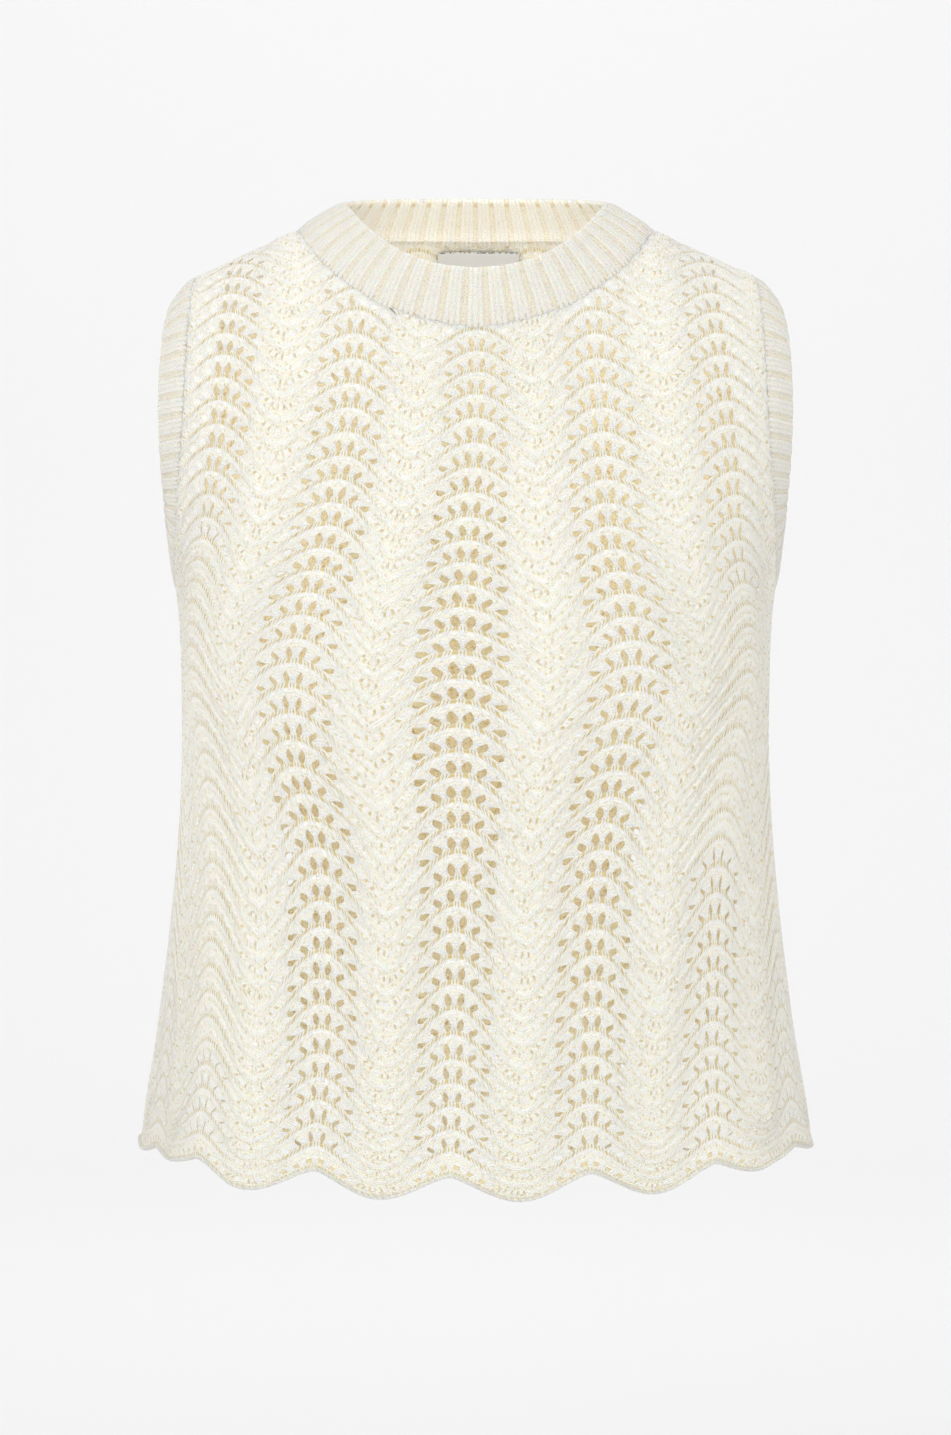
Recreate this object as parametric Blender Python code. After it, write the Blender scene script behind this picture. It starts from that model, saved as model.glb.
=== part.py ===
"""A sleeveless top in a feather-and-fan crochet-look knit, in the shape it takes when it is worn.

Units: the tables are in millimetres and degrees, the meshes in metres. X is the wearer's left
(the viewer's right), -Y the front, +Z up. The origin is between the neck ends of the two
shoulder lines, where the wearer holds the garment up.

Each panel is laid out flat first, on two cloth coordinates:
  angle   how far round the body a point is, 0 at the middle of its own panel, 90 at the side seam
  level   how far up the cloth it is, equal to the height over most of the body
Rows of lace run across the flat layout in waves. The layout is then bent round the body, given
a thickness, and raised along the ridge of every row.
"""

import math

import bpy
import numpy as np
from mathutils import Vector
from mathutils.geometry import delaunay_2d_cdt

MM = 0.001
COLLECTION = "crochet_top"

# ---- driving sizes, millimetres unless said otherwise ----
VALLEY_WALL = 1.5  # cloth between two ridges
RIDGE_WALL = 3.2  # cloth on a ridge
EDGE_WALL = 1.8  # cloth at a seam
HEM_WALL = 2.8  # bound-off edge
BAND_GROOVE = 1.7  # rib bands, between two ribs
BAND_RIB = 3.1  # rib bands, on a rib
SEAM_GAP = 0.3  # air between two sewn pieces
ROLL = 100.0  # height over which the body turns in to the shoulder line
BAND_INSET = 0.65  # how far the inner face of a rib band lies inside that of the panel
SHOULDER_RISE = 30.0
SHOULDER_REACH = 103.1
SHOULDER_POWER = 1.42
NECK_RIBS = 48
NECK_FRONT_RIBS = 26
ARM_RIBS = 42
ARM_RIM_PACE = 0.1  # how far the armhole ribs run ahead on the rim, so that they lie square to it
SIDE_POINTS = 13  # along each side seam
LABEL_WIDTH = 47.0
LABEL_HEIGHT = 38.0
LABEL_THICKNESS = 0.6
LABEL_CLEAR = 2.2  # from the inner face of the back

# ---- the body the cloth hangs on: inner face of the cloth ----
BODY_COLUMNS = ("level", "half_width", "front_depth", "back_depth")
BODY = (
    (-560, 193.0, 122.0, 112.0),
    (-530, 191.0, 120.0, 110.5),
    (-500, 187.5, 118.0, 108.0),
    (-460, 181.0, 116.0, 105.5),
    (-420, 175.8, 114.5, 103.5),
    (-380, 171.3, 114.0, 102.0),
    (-340, 168.0, 115.0, 101.0),
    (-300, 166.3, 117.0, 100.0),
    (-265, 166.3, 119.0, 99.5),
    (-235, 167.0, 119.0, 99.0),
    (-205, 169.5, 116.0, 98.5),
    (-170, 178.0, 109.0, 98.0),
    (-130, 189.0, 99.0, 97.5),
    (-90, 196.0, 90.0, 97.0),
    (-50, 198.0, 83.0, 96.5),
    (-10, 197.0, 79.0, 96.0),
    (40, 196.0, 78.0, 96.0),
    (90, 196.0, 78.0, 96.0),
)

# ---- where each fan of the lace runs: the angle of the fans 3 left to 3 right of the middle ----
FAN_COLUMNS = ("level", "left_3", "left_2", "left_1", "middle", "right_1", "right_2", "right_3")
FANS = (
    (-560, -65.5, -47.5, -25.0, -3.8, 16.7, 38.6, 66.0),
    (-511, -67.0, -48.2, -24.4, -3.6, 17.0, 39.1, 67.0),
    (-418, -74.0, -52.1, -25.4, -3.2, 19.0, 44.0, 73.0),
    (-343, -83.0, -55.8, -27.7, -2.8, 21.4, 49.1, 79.0),
    (-293, -90.0, -60.5, -32.6, -2.7, 24.6, 54.1, 85.0),
    (-242, -98.0, -68.4, -32.6, -2.2, 27.4, 61.2, 93.0),
    (-217, -96.0, -66.5, -30.5, -2.0, 26.2, 59.4, 92.0),
    (-170, -83.0, -53.5, -24.2, -1.0, 21.6, 50.0, 80.0),
    (-117, -73.0, -44.4, -19.3, -0.1, 18.8, 43.0, 71.0),
    (-42, -67.5, -40.3, -17.1, 0.2, 17.0, 38.5, 66.0),
    (60, -67.0, -40.0, -16.8, 0.2, 16.9, 38.3, 66.0),
)

# ---- the rows of lace, counted up from the hem ----
ROW_COLUMNS = ("row", "level_at_middle", "rise_at_side", "wave_height", "lift_off_middle")
ROWS = (
    (0.5, -526.0, 8.5, 13.5, 0.0),
    (1.0, -519.0, 8.0, 15.5, 0.0),
    (3.0, -494.0, 8.0, 23.0, 0.0),
    (6.0, -455.5, 8.0, 29.0, 0.0),
    (10.0, -399.4, 7.0, 34.0, 0.0),
    (15.0, -327.0, 9.0, 34.0, 0.0),
    (20.0, -258.0, 14.5, 31.0, 1.7),
    (22.0, -231.2, 10.0, 30.2, 4.4),
    (25.0, -192.6, 9.5, 29.0, 4.4),
    (27.0, -168.0, 9.8, 27.0, 5.6),
    (30.0, -126.8, 12.0, 24.0, 4.0),
    (33.0, -85.6, 9.8, 22.8, 5.6),
    (35.0, -61.4, 4.0, 22.0, 11.8),
    (44.0, 55.0, 4.0, 20.0, 12.0),
)
LAST_ROW = 42
SIDE_RISE_POWER = 1.3
LIFT_REACH = 10.0  # degrees from the middle over which the lift of a row grows
BACK_SHIFT = 0.5  # fans by which the lace of the back is moved, so that it closes the eyelets
CALM_FROM = 40.0  # angle from which the waves of the hem get lower towards the side
CALM_OVER = 14.0
CALM_SHARE = 0.65
CALM_ROWS = 4.0
# Height of a row between a crest (distance 0) and a trough (distance 0.5), as a part of the wave.
WAVE_COLUMNS = ("distance_from_fan", "height")
WAVE = ((0.0, 1.0), (0.18, 0.79), (0.5, 0.0))
HEM_WAVE = ((0.0, 1.0), (0.18, 0.56), (0.5, 0.0))
# Points of each row within one fan, and corners of the eyelet left open in each fan and row.
STEPS_IN_FAN = (-0.18, 0.0, 0.18, 0.5)
EYELET_COLUMNS = ("fans_from_centre", "rows_from_course")
EYELET = ((0.050, -0.22), (0.012, 0.10), (0.058, 0.32), (0.092, 0.06))
FRONT_EYELET_FANS = (-2, -1, 0, 1, 2)
BACK_EYELET_FANS = (-1, 0)
ALONG_DEGREE = 3.0  # millimetres of cloth for each degree round the body, about

# ---- edges of the panels, on the cloth coordinates; None is the shoulder line ----
EDGE_COLUMNS = ("angle", "level")
NECK_ANGLE = 27.9
FRONT_NECK = (
    (0, -52),
    (5, -49),
    (9.5, -44),
    (14, -36.5),
    (17, -28),
    (20.5, -17),
    (24, -1.5),
    (26.2, 14),
    (NECK_ANGLE, None),
)
BACK_NECK = (
    (0, 23.5),
    (6.5, 25),
    (13, 26.5),
    (18.5, 29),
    (22.7, 32.5),
    (25.7, 37),
    (NECK_ANGLE, None),
)
ARMHOLE = (
    (50.4, None),
    (50.5, -15),
    (50.7, -33),
    (51, -54),
    (51.6, -76),
    (53, -99),
    (55.8, -122),
    (60, -143),
    (65.6, -163),
    (72.2, -181),
    (80, -195),
    (90, -205.5),
)

# The neck edge of each side, and its points from the middle to the shoulder: two for each rib.
NECK_EDGES = {
    -1: (FRONT_NECK, NECK_FRONT_RIBS // 2 + 1),
    1: (BACK_NECK, (NECK_RIBS - NECK_FRONT_RIBS) // 2 + 1),
}

# ---- free edges of the bands, evenly spaced along each half; depth counts away from Y = 0 ----
RIM_COLUMNS = ("x", "depth", "z")
FRONT_RIM = (
    (0.0, 75.5, -26.8),
    (18.3, 74.0, -24.8),
    (35.5, 68.0, -19.2),
    (50.0, 56.2, -10.3),
    (62.2, 41.5, 0.8),
    (70.3, 23.0, 11.0),
    (74.3, 0.0, 17.1),
)
BACK_RIM = (
    (0.0, 45.0, 25.4),
    (20.0, 44.3, 25.4),
    (39.5, 41.0, 25.0),
    (56.5, 33.0, 23.6),
    (69.0, 18.8, 20.6),
    (74.3, 0.0, 17.1),
)
ARM_RIM = (
    (172.0, 0.0, -40.5),
    (174.5, 13.0, -45.5),
    (176.6, 22.0, -56.0),
    (177.8, 31.0, -70.0),
    (178.3, 37.0, -87.0),
    (178.3, 40.0, -105.0),
    (177.6, 40.0, -122.0),
    (176.6, 37.0, -138.0),
    (175.4, 31.0, -153.0),
    (174.2, 22.0, -166.0),
    (172.6, 12.0, -175.0),
    (172.0, 0.0, -180.0),
)


def smooth(at, table, column):
    """Reads one column of a table at the given first-column values, along a smooth curve."""
    table = np.asarray(table, float)
    xs = table[:, 0]
    ys = table[:, column]
    rise = np.diff(ys) / np.diff(xs)
    width = np.diff(xs)
    slope = np.concatenate([rise[:1], np.zeros(len(xs) - 2), rise[-1:]])
    slope[1:-1] = (rise[1:] * width[:-1] + rise[:-1] * width[1:]) / (width[1:] + width[:-1])
    at = np.clip(at, xs[0], xs[-1])
    i = np.clip(np.searchsorted(xs, at, side="right") - 1, 0, len(xs) - 2)
    t = (at - xs[i]) / width[i]
    start = (1 + 2 * t) * (1 - t) ** 2 * ys[i] + t * (1 - t) ** 2 * width[i] * slope[i]
    return start + t * t * (3 - 2 * t) * ys[i + 1] + t * t * (t - 1) * width[i] * slope[i + 1]


def shoulder_line(x):
    """Height of the shoulder line, carried on over the neck as a smooth hump."""
    return SHOULDER_RISE * (1 - (np.abs(x) / SHOULDER_REACH) ** SHOULDER_POWER)


def around(angle):
    """Sideways and forward parts of a squarish ellipse at an angle in degrees."""
    turn = np.radians(angle)
    square = 0.035
    sideways = (np.sin(turn) + square * np.sin(3 * turn)) / (1 - square)
    forward = (np.cos(turn) - square * np.cos(3 * turn)) / (1 - square)
    return sideways, np.maximum(forward, 0)


def body_sizes(side, angle, level):
    """X, depth, shoulder height and shoulder roundness at cloth coordinates of one side."""
    sideways, forward = around(angle)
    x = smooth(level, BODY, 1) * sideways
    depth = smooth(level, BODY, 2 if side < 0 else 3)
    roundness = 0.55 * depth * np.maximum(forward, 0.3)
    return x, depth * forward, shoulder_line(x), roundness


def on_body(side, angle, level):
    """Points of the inner face at cloth coordinates; side is -1 for the front, 1 for the back.

    Below the shoulder by a height h the depth is its full value times the quarter circle
    sqrt(1 - (1 - h / ROLL) ** 2), and the level turns into h so that it measures along the cloth.
    """
    angle = np.asarray(angle, float)
    level = np.asarray(level, float)
    x, depth, ridge, roundness = body_sizes(side, angle, level)
    below = np.maximum(ridge + roundness - level, 0)
    drop = np.sqrt(below**2 + roundness**2) - roundness
    turned = np.sqrt(np.maximum(0, 1 - (1 - np.minimum(drop / ROLL, 1)) ** 2))
    # The bust is fullest on both sides of the middle, which leaves a shallow hollow between.
    bust = 8 * np.exp(-(((np.abs(x) - 80) / 45) ** 2) - ((ridge - drop + 240) / 60) ** 2)
    forward = depth * turned + (bust if side < 0 else 0)
    return np.stack([x, side * forward, ridge - drop], axis=-1)


def out_of_body(side, angle, level):
    """Unit vectors standing out of the body at cloth coordinates."""
    right = on_body(side, angle + 0.2, level) - on_body(side, angle - 0.2, level)
    up = on_body(side, angle, level + 0.5) - on_body(side, angle, level - 0.5)
    out = np.cross(right, up) * -side
    return out / np.linalg.norm(out, axis=-1, keepdims=True)


def shoulder_level(side, angle):
    """Level at which the cloth reaches the shoulder line, less half a seam gap."""
    level = 20.0
    for _ in range(20):
        _, _, ridge, roundness = body_sizes(side, angle, level)
        level = float(ridge + roundness)
    return level - 0.8 * SEAM_GAP


def flutes(angle, level):
    """How far the cloth stands off the body: soft folds that open towards the hem."""
    fade = np.clip((-380 - level) / 150, 0, 1)
    seam = np.clip((90 - np.abs(angle)) / 30, 0, 1)
    return 3.2 * fade * fade * seam * (1 + np.cos(np.radians(angle * 8)))


def fan_angle(fan, level):
    """Angle of a place between fans, such as 1.5, at a level."""
    fans = np.array([smooth(level, FANS, 1 + i) for i in range(7)])
    places = np.arange(-3, 4)
    table = np.column_stack([places, fans])
    inside = smooth(np.clip(fan, -3, 3), table, 1)
    slope = fans[-1] - fans[-2] if fan > 3 else fans[1] - fans[0]
    return float(inside + slope * (fan - np.clip(fan, -3, 3)))


def lace_point(side, row, fan):
    """Cloth coordinates of a place in the lace of one side: a row and a place between fans."""
    middle = float(smooth(row, ROWS, 1))
    rise = float(smooth(row, ROWS, 2))
    wave = float(smooth(row, ROWS, 3))
    lift = float(smooth(row, ROWS, 4))
    near_hem = np.clip((CALM_ROWS - row) / 3, 0, 1)
    off_fan = abs(fan - round(fan))
    part = np.interp(off_fan, *np.transpose(WAVE)) * (1 - near_hem)
    part += np.interp(off_fan, *np.transpose(HEM_WAVE)) * near_hem
    place = fan + (BACK_SHIFT if side > 0 else 0)
    level = middle
    for _ in range(4):
        angle = fan_angle(place, level)
        turned = math.sin(math.radians(min(abs(angle), 90))) ** SIDE_RISE_POWER
        calm = CALM_SHARE * near_hem * np.clip((abs(angle) - CALM_FROM) / CALM_OVER, 0, 1)
        raised = rise * turned + lift * (1 - math.exp(-((angle / LIFT_REACH) ** 2)))
        level = middle + raised - wave * (1 - calm) * (1 - part)
    return angle, level


def resample(points, count, pace=0.0):
    """Evenly spaced points along a smooth curve, run ahead by pace in its middle."""
    points = np.asarray(points, float)
    steps = np.linalg.norm(np.diff(points, axis=0), axis=1)
    length = np.concatenate([[0], np.cumsum(steps)])
    table = np.column_stack([length, points])
    fine = np.linspace(0, length[-1], 400)
    curve = np.column_stack([smooth(fine, table, 1 + i) for i in range(points.shape[1])])
    steps = np.linalg.norm(np.diff(curve, axis=0), axis=1)
    along = np.concatenate([[0], np.cumsum(steps)])
    t = np.linspace(0, 1, count)
    even = along[-1] * (t + pace * np.sin(np.pi * t) ** 2)
    return np.column_stack([np.interp(even, along, curve[:, i]) for i in range(points.shape[1])])


def edge_on_cloth(side, table, count):
    """Cloth coordinates of evenly spaced points along an edge table of one side."""
    rows = [(a, shoulder_level(side, a) if level is None else level) for a, level in table]
    table = np.asarray(rows, float)
    return resample(table * (ALONG_DEGREE, 1), count) / (ALONG_DEGREE, 1)


def panel_edge(side):
    """Closed outline of a panel on cloth coordinates, turning left: hem, sides, armholes, neck."""
    last = 90 - 0.1
    hem = []
    for fan in range(-5, 5):
        for step in STEPS_IN_FAN:
            angle, level = lace_point(side, 0.5, fan + step)
            if abs(angle) < last - 1.5:
                hem.append((angle, level))
    corner = hem[-1][1] - 1, hem[0][1] - 1
    armhole = edge_on_cloth(side, ARMHOLE, ARM_RIBS // 2 + 1)
    armhole[-1, 0] = last
    under = armhole[-1, 1]
    neck = edge_on_cloth(side, *NECK_EDGES[side])
    ends = neck[-1, 0], armhole[0, 0]
    shoulder = [(a, shoulder_level(side, a)) for a in np.linspace(*ends, 6)[1:-1]]
    seam = np.linspace(corner[0], under, SIDE_POINTS)[:-1]
    right = [(last, level) for level in seam]
    right += [tuple(p) for p in armhole[::-1]] + shoulder[::-1] + [tuple(p) for p in neck[::-1]]
    seam = np.linspace(corner[1], under, SIDE_POINTS)[:-1]
    left = [(-a, level) for a, level in neck[1:]] + [(-a, level) for a, level in shoulder]
    left += [(-a, level) for a, level in armhole] + [(-last, level) for level in seam[::-1]]
    return hem + right + left


def inside(points, outline, margin):
    """Which flat points are inside an outline by at least a margin."""
    points = np.asarray(points, float)
    a = np.asarray(outline, float)
    b = np.roll(a, -1, axis=0)
    p = points[:, None]
    crosses = (a[:, 1] > p[..., 1]) != (b[:, 1] > p[..., 1])
    with np.errstate(divide="ignore", invalid="ignore"):
        at = a[:, 0] + (p[..., 1] - a[:, 1]) / (b[:, 1] - a[:, 1]) * (b[:, 0] - a[:, 0])
    within = (crosses & (p[..., 0] < at)).sum(axis=1) % 2 == 1
    t = ((p - a) * (b - a)).sum(axis=2) / ((b - a) ** 2).sum(axis=1)
    nearest = a + np.clip(t, 0, 1)[..., None] * (b - a)
    distance = np.linalg.norm(p - nearest, axis=2).min(axis=1)
    return within & (distance > margin)


class Layout:
    """A panel laid out flat: its points, the wall at each, and the edges its triangles keep.

    Points marked plain are on both faces of the panel. The others only raise its outer face.
    """

    def __init__(self, side, outline):
        self.side = side
        self.outline = np.array(outline) * (ALONG_DEGREE, 1)
        self.points = []
        self.walls = []
        self.plain = []
        self.edges = []
        self.loops = []

    def add(self, point, wall, plain=False):
        self.points.append(point)
        self.walls.append(wall)
        self.plain.append(plain)
        return len(self.points) - 1

    def loop(self, points, wall):
        """A closed line of points with a wall through the cloth along it."""
        ids = [self.add(p, wall, True) for p in points]
        self.loops.append(ids)
        self.edges += zip(ids, ids[1:] + ids[:1])
        return ids

    def join(self, one, other):
        """Keeps the edge between two points, unless it would leave the panel."""
        ends = np.array([self.points[one], self.points[other]]) * (ALONG_DEGREE, 1)
        between = ends[0] + np.linspace(0.1, 0.9, 9)[:, None] * (ends[1] - ends[0])
        if inside(between, self.outline, 0.5).all():
            self.edges.append((one, other))

    def allows(self, point, margin):
        return bool(inside([np.array(point) * (ALONG_DEGREE, 1)], self.outline, margin)[0])

    def triangles(self, ids, edges):
        """Triangles between some of the points, keeping the edges, less holes and outside."""
        flat = np.array(self.points)[ids] * (ALONG_DEGREE, 1)
        place = {point: i for i, point in enumerate(ids)}
        edges = [(place[a], place[b]) for a, b in edges]
        found = delaunay_2d_cdt([Vector(p) for p in flat], edges, [], 0, 1e-6)
        faces, origins = found[2], found[3]
        if any(len(origin) != 1 for origin in origins):
            raise ValueError("two points or two edges of the layout meet")
        faces = np.array([[origins[v][0] for v in face] for face in faces])
        loop_of = np.zeros(len(self.points), int)
        for i, loop in enumerate(self.loops):
            loop_of[loop] = i
        own = loop_of[np.array(ids)][faces]
        in_hole = (own[:, 0] > 0) & (own == own[:, :1]).all(axis=1)
        middle = flat[faces].mean(axis=1)
        faces = faces[inside(middle, self.outline, 0) & ~in_hole]
        return np.array(ids)[faces]

    def mesh(self):
        """Points and faces of the closed solid, bent round the body."""
        angle, level = np.transpose(self.points)
        out = out_of_body(self.side, angle, level)
        base = on_body(self.side, angle, level) + out * flutes(angle, level)[:, None]
        outer = base + out * np.array(self.walls)[:, None]
        everything = list(range(len(self.points)))
        plain = [i for i in everything if self.plain[i]]
        rims = [pair for loop in self.loops for pair in zip(loop, loop[1:] + loop[:1])]
        count = len(outer)
        inner = {point: count + i for i, point in enumerate(plain)}
        faces = [tuple(face) for face in self.triangles(everything, self.edges)]
        faces += [tuple(inner[i] for i in face[::-1]) for face in self.triangles(plain, rims)]
        faces += [(b, a, inner[a], inner[b]) for a, b in rims]
        if self.side > 0:
            faces = [face[::-1] for face in faces]
        return np.concatenate([outer, base[plain]]), faces


def lace_line(layout, row, wall, eyelet_fans):
    """One line of the lace along a row, round the eyelets of the given fans."""
    before = None
    for fan in range(-5, 5):
        for step in STEPS_IN_FAN:
            first = last = None
            if step == 0 and fan in eyelet_fans:
                turn = -1 if fan < 0 else 1
                corners = [
                    lace_point(layout.side, row + up, fan + turn * aside) for aside, up in EYELET
                ]
                if all(layout.allows(corner, 4.0) for corner in corners):
                    ids = layout.loop(corners[::turn], wall)
                    first, last = sorted((ids[1], ids[3]) if turn > 0 else (ids[0], ids[2]),
                                         key=lambda i: layout.points[i][0])
            place = lace_point(layout.side, row, fan + step)
            if first is None and layout.allows(place, 3.2):
                bare = step == 0 and fan not in eyelet_fans
                plain = (step == 0.5 or bare) and wall == VALLEY_WALL and row % 2 == 0
                first = last = layout.add(place, wall, plain)
            if first is not None and before is not None:
                layout.join(before, first)
            before = last


def panel(name, side, eyelet_fans, material):
    """One lace panel: ridged outer face, plain inner face, eyelets cut through."""
    outline = panel_edge(side)
    layout = Layout(side, outline)
    for i in layout.loop(outline, EDGE_WALL):
        if outline[i][1] < -500 and abs(outline[i][0]) < 89:
            layout.walls[i] = HEM_WALL
    for row in range(1, LAST_ROW):
        lace_line(layout, row, VALLEY_WALL, eyelet_fans)
        lace_line(layout, row + 0.5, RIDGE_WALL, ())
    points, faces = layout.mesh()
    return solid(name, points, faces, material)


def solid(name, points, faces, material):
    """A mesh object from points in millimetres."""
    mesh = bpy.data.meshes.new(name)
    mesh.from_pydata((np.asarray(points) * MM).tolist(), [], [tuple(map(int, f)) for f in faces])
    mesh.validate()
    mesh.materials.append(material)
    item = bpy.data.objects.new(name, mesh)
    bpy.data.collections[COLLECTION].objects.link(item)
    return item


def rib_band(name, seam, out_at_seam, rim, material):
    """A closed ribbed band from a seam loop to a free rim loop, with a rib on every other point.

    Both loops have the same count of points, two for each rib.
    """
    count = len(seam)
    along = np.roll(rim, -1, axis=0) - np.roll(rim, 1, axis=0)
    out_at_rim = np.cross(along, rim - seam)
    out_at_rim /= np.linalg.norm(out_at_rim, axis=1, keepdims=True)
    if (out_at_rim * out_at_seam).sum() < 0:
        out_at_rim = -out_at_rim
    wall = np.where(np.arange(count) % 2 == 0, BAND_RIB, BAND_GROOVE)[:, None]
    across = rim - seam
    across /= np.linalg.norm(across, axis=1, keepdims=True)
    low = seam + across * SEAM_GAP - out_at_seam * BAND_INSET
    rings = [low, rim, rim + out_at_rim * wall, low + out_at_seam * wall]
    points = np.concatenate(rings)
    faces = []
    for ring in range(4):
        this = ring * count
        other = (ring + 1) % 4 * count
        for i in range(count):
            j = (i + 1) % count
            faces.append((this + i, this + j, other + j, other + i))
    area = sum(
        np.dot(points[f[0]], np.cross(points[f[1]], points[f[2]]))
        + np.dot(points[f[0]], np.cross(points[f[2]], points[f[3]]))
        for f in faces
    )
    if area < 0:
        faces = [face[::-1] for face in faces]
    return solid(name, points, faces, material)


def doubled(points):
    """A closed loop with the middle of every side added."""
    points = np.asarray(points)
    middles = (points + np.roll(points, -1, axis=0)) / 2
    return np.stack([points, middles], axis=1).reshape(-1, points.shape[1])


def seam_loop(front, back):
    """Points and outward vectors of a seam, from edges of the two panels run end to end."""
    points = []
    outs = []
    for side, edge in ((-1, front), (1, back)):
        angle, level = np.transpose(edge)
        points.append(on_body(side, angle, level))
        outs.append(out_of_body(side, angle, level))
    return doubled(np.concatenate(points)), doubled(np.concatenate(outs))


def neck_band(material):
    """The neckband: front neck edge from right to left, then back neck edge from left to right."""
    loops = []
    for side, edge in NECK_EDGES.items():
        half = edge_on_cloth(side, *edge)
        whole = np.concatenate([half[:0:-1] * (-1, 1), half])
        loops.append(whole[::-side][:-1] if side > 0 else whole[:-1])
    seam, out = seam_loop(*loops)
    rim = []
    for sign, table in ((-1, FRONT_RIM), (1, BACK_RIM)):
        half = resample(np.array(table) * (1, sign, 1), 2 * NECK_EDGES[sign][1] - 1)
        whole = np.concatenate([half[:0:-1] * (-1, 1, 1), half])
        rim.append(whole[:-1] if sign < 0 else whole[::-1][:-1])
    return rib_band("neckband", seam, out, np.concatenate(rim), material)


def arm_band(name, hand, material):
    """An armhole band; hand is -1 for the viewer's left and 1 for the right."""
    half = ARM_RIBS // 2 + 1
    loops = []
    for side in (-1, 1):
        edge = edge_on_cloth(side, ARMHOLE, half) * (hand, 1)
        loops.append(edge[:-1] if side < 0 else edge[::-1][:-1])
    seam, out = seam_loop(*loops)
    rim = []
    for side in (-1, 1):
        edge = resample(np.array(ARM_RIM) * (hand, side, 1), 2 * half - 1, ARM_RIM_PACE)
        rim.append(edge[:-1] if side < 0 else edge[::-1][:-1])
    return rib_band(name, seam, out, np.concatenate(rim), material)


def neck_label(material):
    """A blank woven label, sewn at its top edge inside the middle of the back."""
    top = 18.0
    half_angle = math.degrees(LABEL_WIDTH / 2 / 216)
    columns = 5
    rows = 4
    angles = np.linspace(-half_angle, half_angle, columns)
    levels = np.linspace(top, top - LABEL_HEIGHT, rows)
    angle, level = [grid.ravel() for grid in np.meshgrid(angles, levels)]
    base = on_body(1, angle, level)
    out = out_of_body(1, angle, level)
    near = base - out * LABEL_CLEAR
    far = near - out * LABEL_THICKNESS
    points = np.concatenate([near, far])
    count = len(near)
    faces = []
    grid = np.arange(count).reshape(rows, columns)
    corners = grid[:-1, :-1], grid[:-1, 1:], grid[1:, 1:], grid[1:, :-1]
    for a, b, c, d in zip(*(corner.flat for corner in corners)):
        faces.append((a, b, c, d))
        faces.append((count + d, count + c, count + b, count + a))
    rim = [*grid[0], *grid[1:, -1], *grid[-1, -2::-1], *grid[-2:0:-1, 0]]
    for a, b in zip(rim, rim[1:] + rim[:1]):
        faces.append((b, a, count + a, count + b))
    return solid("neck_label", points, faces, material)


def material(name, colour, roughness):
    """A plain material with its own colour."""
    made = bpy.data.materials.new(name)
    made.use_nodes = True
    shader = made.node_tree.nodes["Principled BSDF"]
    shader.inputs["Base Color"].default_value = (*colour, 1)
    shader.inputs["Roughness"].default_value = roughness
    made.diffuse_color = (*colour, 1)
    return made


def main():
    for item in list(bpy.data.objects):
        bpy.data.objects.remove(item)
    group = bpy.data.collections.new(COLLECTION)
    bpy.context.scene.collection.children.link(group)
    lace = material("cream_cotton_lace", (0.86, 0.82, 0.70), 0.9)
    rib = material("cream_cotton_rib", (0.84, 0.80, 0.68), 0.9)
    satin = material("grey_satin_label", (0.60, 0.60, 0.57), 0.5)
    panel("front_panel", -1, FRONT_EYELET_FANS, lace)
    panel("back_panel", 1, BACK_EYELET_FANS, lace)
    neck_band(rib)
    arm_band("armhole_band_right", -1, rib)
    arm_band("armhole_band_left", 1, rib)
    neck_label(satin)


main()
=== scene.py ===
# %% [markdown]
# # A feather-and-fan crochet-look top
#
# This notebook dresses the plain solids of a sleeveless knitted top. Every panel is a sheet of
# lace laid out on two **cloth coordinates**, `angle` (degrees round the body, 0 at the middle of
# the panel, 90 at the side seam) and `level` (millimetres up the cloth). Rows of lace cross that
# flat layout in waves, and the layout is then bent round the body. The order is: sizes, cloth
# mathematics, lace panels, rib bands, label, materials, then camera and light.

# %% Load the fixed frame
import math
from types import SimpleNamespace

import bpy
import numpy as np
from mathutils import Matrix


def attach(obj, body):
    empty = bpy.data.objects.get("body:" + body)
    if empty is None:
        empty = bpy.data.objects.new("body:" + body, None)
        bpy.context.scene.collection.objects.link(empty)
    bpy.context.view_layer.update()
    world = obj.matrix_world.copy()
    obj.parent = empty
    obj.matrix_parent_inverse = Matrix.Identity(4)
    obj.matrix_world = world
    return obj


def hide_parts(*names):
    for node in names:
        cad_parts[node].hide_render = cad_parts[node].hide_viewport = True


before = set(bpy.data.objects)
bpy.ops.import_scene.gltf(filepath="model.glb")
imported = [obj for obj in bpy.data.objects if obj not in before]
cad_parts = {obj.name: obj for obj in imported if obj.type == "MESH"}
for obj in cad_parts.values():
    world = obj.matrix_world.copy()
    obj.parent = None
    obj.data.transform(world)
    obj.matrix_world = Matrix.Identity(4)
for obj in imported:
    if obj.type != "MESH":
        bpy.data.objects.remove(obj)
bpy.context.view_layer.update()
MM = 0.001

# %% [markdown]
# ## 1. Sizes
#
# The tables repeat the sizes that the solids were built from, in millimetres and degrees. The
# first line of each names its columns. `FANS` says at which angle the seven fans of the lace
# stand: they spread where the cloth stretches over the bust. `ROWS` says how high a row of the
# lace lies at the middle, how much it rises to the side, how high its waves are, and how much it
# lifts a little way off the middle.

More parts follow.
